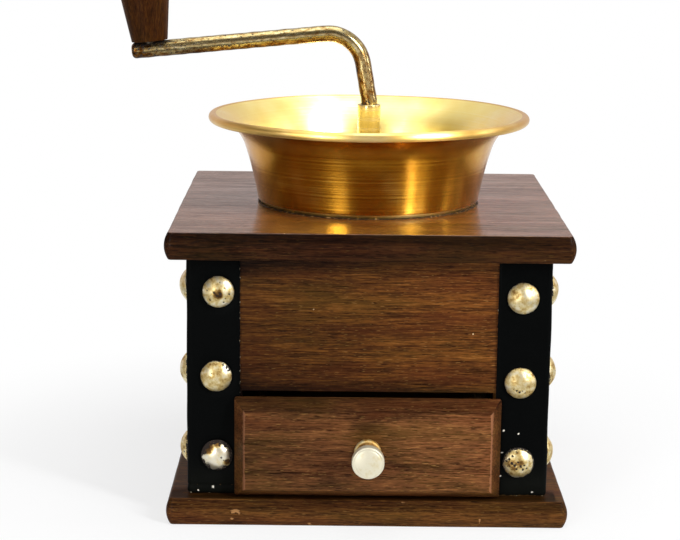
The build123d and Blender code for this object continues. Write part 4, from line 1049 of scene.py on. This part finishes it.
keptFinishes = {
    frontWood: ["front_panel"],
    backWood: ["back_panel"],
    sideWood: ["side_panel_left", "side_panel_right"],
    plainWood: ["corner_blocks", "drawer_guide_left", "drawer_guide_right", "drawer_side_left",
                "drawer_side_right", "drawer_back", "drawer_bottom"],
    bridgeBrass: ["bridge"],
    millIron: ["outer_burr", "inner_burr", "burr_bracket"],
    screwSteel: ["base_screws", "hopper_screws", "bridge_screws", "mill_screws", "bracket_screws",
                 "drawer_knob_screw", "upper_spring_washer", "lower_spring_washer", "burr_spring",
                 "drive_pin", "adjusting_screw", "thrust_ball"],
    pinSteel: ["knob_pin"],
}
for material, names in keptFinishes.items():
    for name in names:
        nodes[name].material_slots[0].material = material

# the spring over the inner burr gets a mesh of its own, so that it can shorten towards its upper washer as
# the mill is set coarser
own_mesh(nodes["burr_spring"])
print("kept nodes dressed")


# floor: pale table that turns to plain white away from the grinder; metal and varnish see it by other tones

floorLook = {
    "colour": "#fbfcfd", "half": 2.0, "clear": 0.09, "white": 0.22, "least": 0.72, "behindPull": -1.5,
    # by distance in metres
    "mirrored": [(0.16, "#f2f2f2"), (0.27, "#3e3e3e"), (0.36, "#3e3e3e"), (0.52, "#ffffff")],
}
look = floorLook
floorMesh = bpy.data.meshes.new("floor")
corners = [(a * look["half"], b * look["half"], 0) for a, b in ((-1, -1), (1, -1), (1, 1), (-1, 1))]
floorMesh.from_pydata(corners, [], [(0, 1, 2, 3)])
floor = addObject("floor", floorMesh)
floorPaint, add, shader, place = startMaterial("palePaintedTable", {
    "Base Color": toLinear(look["colour"]), "Roughness": 0.55, "Specular IOR Level": 0.2,
})
distance = add("VectorMath", {"operation": "LENGTH"}, {0: place})
parts = add("SeparateXYZ", links={0: place})
behind = add("Math", {"operation": "MAXIMUM", 1: 0.0}, {0: parts.outputs["Y"]})
reach = add("Math", {"operation": "MULTIPLY_ADD", 1: look["behindPull"]},
            {0: behind, 2: distance.outputs["Value"]})
fade = add("MapRange", {
    "interpolation_type": "SMOOTHSTEP", "From Min": look["clear"], "From Max": look["white"],
    "To Min": look["least"],
}, {"Value": distance.outputs["Value"]})
paths = add("LightPath")
seen = add("Math", {"operation": "MAXIMUM"},
           {0: paths.outputs["Is Camera Ray"], 1: paths.outputs["Is Transmission Ray"]})
factor = add("Math", {"operation": "MULTIPLY"}, {0: fade, 1: seen})
white = add("Emission", {"Color": toLinear("#ffffff"), "Strength": 1.0})
shown = add("MixShader", links={0: factor, 1: shader, 2: white})
tint = add("ValToRGB", {"stops": look["mirrored"]}, {0: reach})
mirrored = add("Emission", {"Strength": 1.0}, {"Color": tint})
mixed = add("MixShader", links={0: paths.outputs["Is Glossy Ray"], 1: shown, 2: mirrored})
feed(next(node for node in floorPaint.node_tree.nodes if node.type == "OUTPUT_MATERIAL"), {"Surface": mixed})
floorMesh.materials.append(floorPaint)


# world: white for the camera and an even fill for diffuse light
# reflections see a dim room with a pale wall behind, a bright horizon and a ceiling

worldLook = {
    "fill": 0.07, "room": 0.08, "horizon": 1.0, "horizonFrom": 0.2, "horizonTo": 0.04,
    "wall": 0.76, "wallFrom": 0.1, "wallTo": 0.5, "wallColour": "#ffece7",
    "ceiling": 1.0, "ceilingFrom": 0.43, "ceilingTo": 0.76, "ceilingAxis": (0.1, 0.25, 0.96),
}
look = worldLook
world = bpy.data.worlds.new("studio")
bpy.context.scene.world = world
world.use_nodes = True
world.node_tree.nodes.clear()
add = functools.partial(addNode, world.node_tree)
heading = add("TexCoord").outputs["Generated"]
direction = add("SeparateXYZ", links={0: heading})
climb = add("VectorMath", {"operation": "DOT_PRODUCT", 1: look["ceilingAxis"]}, {0: heading})
level = add("MapRange", {
    "interpolation_type": "SMOOTHSTEP", "From Min": look["horizonFrom"], "From Max": look["horizonTo"],
    "To Min": look["room"], "To Max": look["horizon"],
}, {"Value": direction.outputs["Z"]})
behind = add("MapRange", {
    "interpolation_type": "SMOOTHSTEP", "From Min": look["wallFrom"], "From Max": look["wallTo"],
    "To Max": look["wall"],
}, {"Value": direction.outputs["Y"], "To Min": level})
above = add("MapRange", {
    "interpolation_type": "SMOOTHSTEP", "From Min": look["ceilingFrom"], "From Max": look["ceilingTo"],
    "To Max": look["ceiling"],
}, {"Value": climb.outputs["Value"]})
around = add("Math", {"operation": "MAXIMUM"}, {0: behind, 1: above})
paths = add("LightPath")
glossy = add("Math", {"operation": "MAXIMUM"},
             {0: paths.outputs["Is Glossy Ray"], 1: paths.outputs["Is Transmission Ray"]})
soft = add("Background", {"Strength": look["fill"]})
tint = add("Mix", {"data_type": "RGBA", 6: toLinear(look["wallColour"]), 7: toLinear("#ffffff")},
           {0: above})
mirror = add("Background", links={"Color": tint.outputs[2], "Strength": around})
backdrop = add("Background", {"Color": toLinear("#ffffff"), "Strength": 1.0})
light = add("MixShader", links={0: glossy, 1: soft, 2: mirror})
shown = add("MixShader", links={0: paths.outputs["Is Camera Ray"], 1: light, 2: backdrop})
add("OutputWorld", links={"Surface": shown})


# lamps and camera

def setPose(thing, right, up, ahead, place):
    # a lamp or camera looks along its own -Z with +Y up
    pose = np.eye(4)
    pose[:3] = np.column_stack([right, up, -ahead, place])
    thing.matrix_world = Matrix(pose.tolist())


lamps = {  # place in metres, what it points at, width, height, watts
    "keyRight": ((0.75, -0.78, 0.66), (0, 0, 0.08), 0.12, 0.62, 9.6),
    "keyHalo": ((0.88, -0.66, 0.70), (0, 0, 0.08), 0.30, 0.40, 3.0),
    "fillLeft": ((-0.53, -0.95, 0.56), (0, 0, 0.08), 0.24, 0.50, 2.5),
    "lowLeft": ((-0.53, -0.96, 0.09), (0, 0, 0.11), 0.24, 0.14, 2.4),
    "sideRight": ((1.10, -0.10, 0.34), (0, 0, 0.1), 0.12, 0.3, 1.2),
    "softRight": ((0.95, 0.15, 0.62), (0, 0, 0.12), 0.5, 0.4, 1.0),
    "topSoft": ((-0.05, 0.0, 1.15), (0, 0, 0.1), 0.9, 0.9, 6.2),
    "brassRight": ((0.75, -0.78, 0.50), (0, 0, 0.12), 0.34, 0.30, 36.0),
    "brassLeft": ((-0.55, -0.94, 0.05), (0, 0, 0.12), 0.36, 0.08, 4.0),
    "brassFill": ((-0.80, -0.78, 0.36), (0, 0, 0.12), 0.55, 0.30, 4.0),
}
brassOnly = bpy.data.collections.new("brassOnly")  # the last three lamps light the hopper alone
brassOnly.objects.link(bowl)
for name, (spot, target, width, tall, watts) in lamps.items():
    lamp = bpy.data.lights.new(name, "AREA")
    lamp.shape, lamp.size, lamp.size_y, lamp.energy = "RECTANGLE", width, tall, watts
    holder = addObject(name, lamp)
    aim = np.array(target) - spot
    aim = aim / np.linalg.norm(aim)
    across = np.cross(aim, (0, 0, 1))
    across = across / np.linalg.norm(across)
    setPose(holder, across, np.cross(across, aim), aim, spot)
    if name.startswith("brass"):
        holder.light_linking.receiver_collection = brassOnly

cameraLook = {
    "focalPixels": 1905.44, "imageWidth": 680, "sensor": 36.0, "place": (-10.848, -700.691, 222.553),
    "yaw": 0.00105, "pitch": -0.20492, "roll": 0.01057, "nearest": 0.01, "farthest": 20,
}
look = cameraLook
camera = bpy.data.cameras.new("camera")
camera.sensor_fit, camera.sensor_width = "HORIZONTAL", look["sensor"]
camera.lens = look["focalPixels"] * look["sensor"] / look["imageWidth"]
camera.clip_start, camera.clip_end = look["nearest"], look["farthest"]
sinYaw, cosYaw = math.sin(look["yaw"]), math.cos(look["yaw"])
sinPitch, cosPitch = math.sin(look["pitch"]), math.cos(look["pitch"])
ahead = np.array([sinYaw * cosPitch, cosYaw * cosPitch, sinPitch])
level = np.array([cosYaw, -sinYaw, 0.0])
upright = np.cross(level, ahead)
sinRoll, cosRoll = math.sin(look["roll"]), math.cos(look["roll"])
right, up = cosRoll * level + sinRoll * upright, cosRoll * upright - sinRoll * level
viewer = addObject("camera", camera)
setPose(viewer, right, up, ahead, np.array(look["place"]) * mm)
bpy.context.scene.camera = viewer
bpy.context.scene.view_settings.view_transform = "Standard"
print("stage ready")
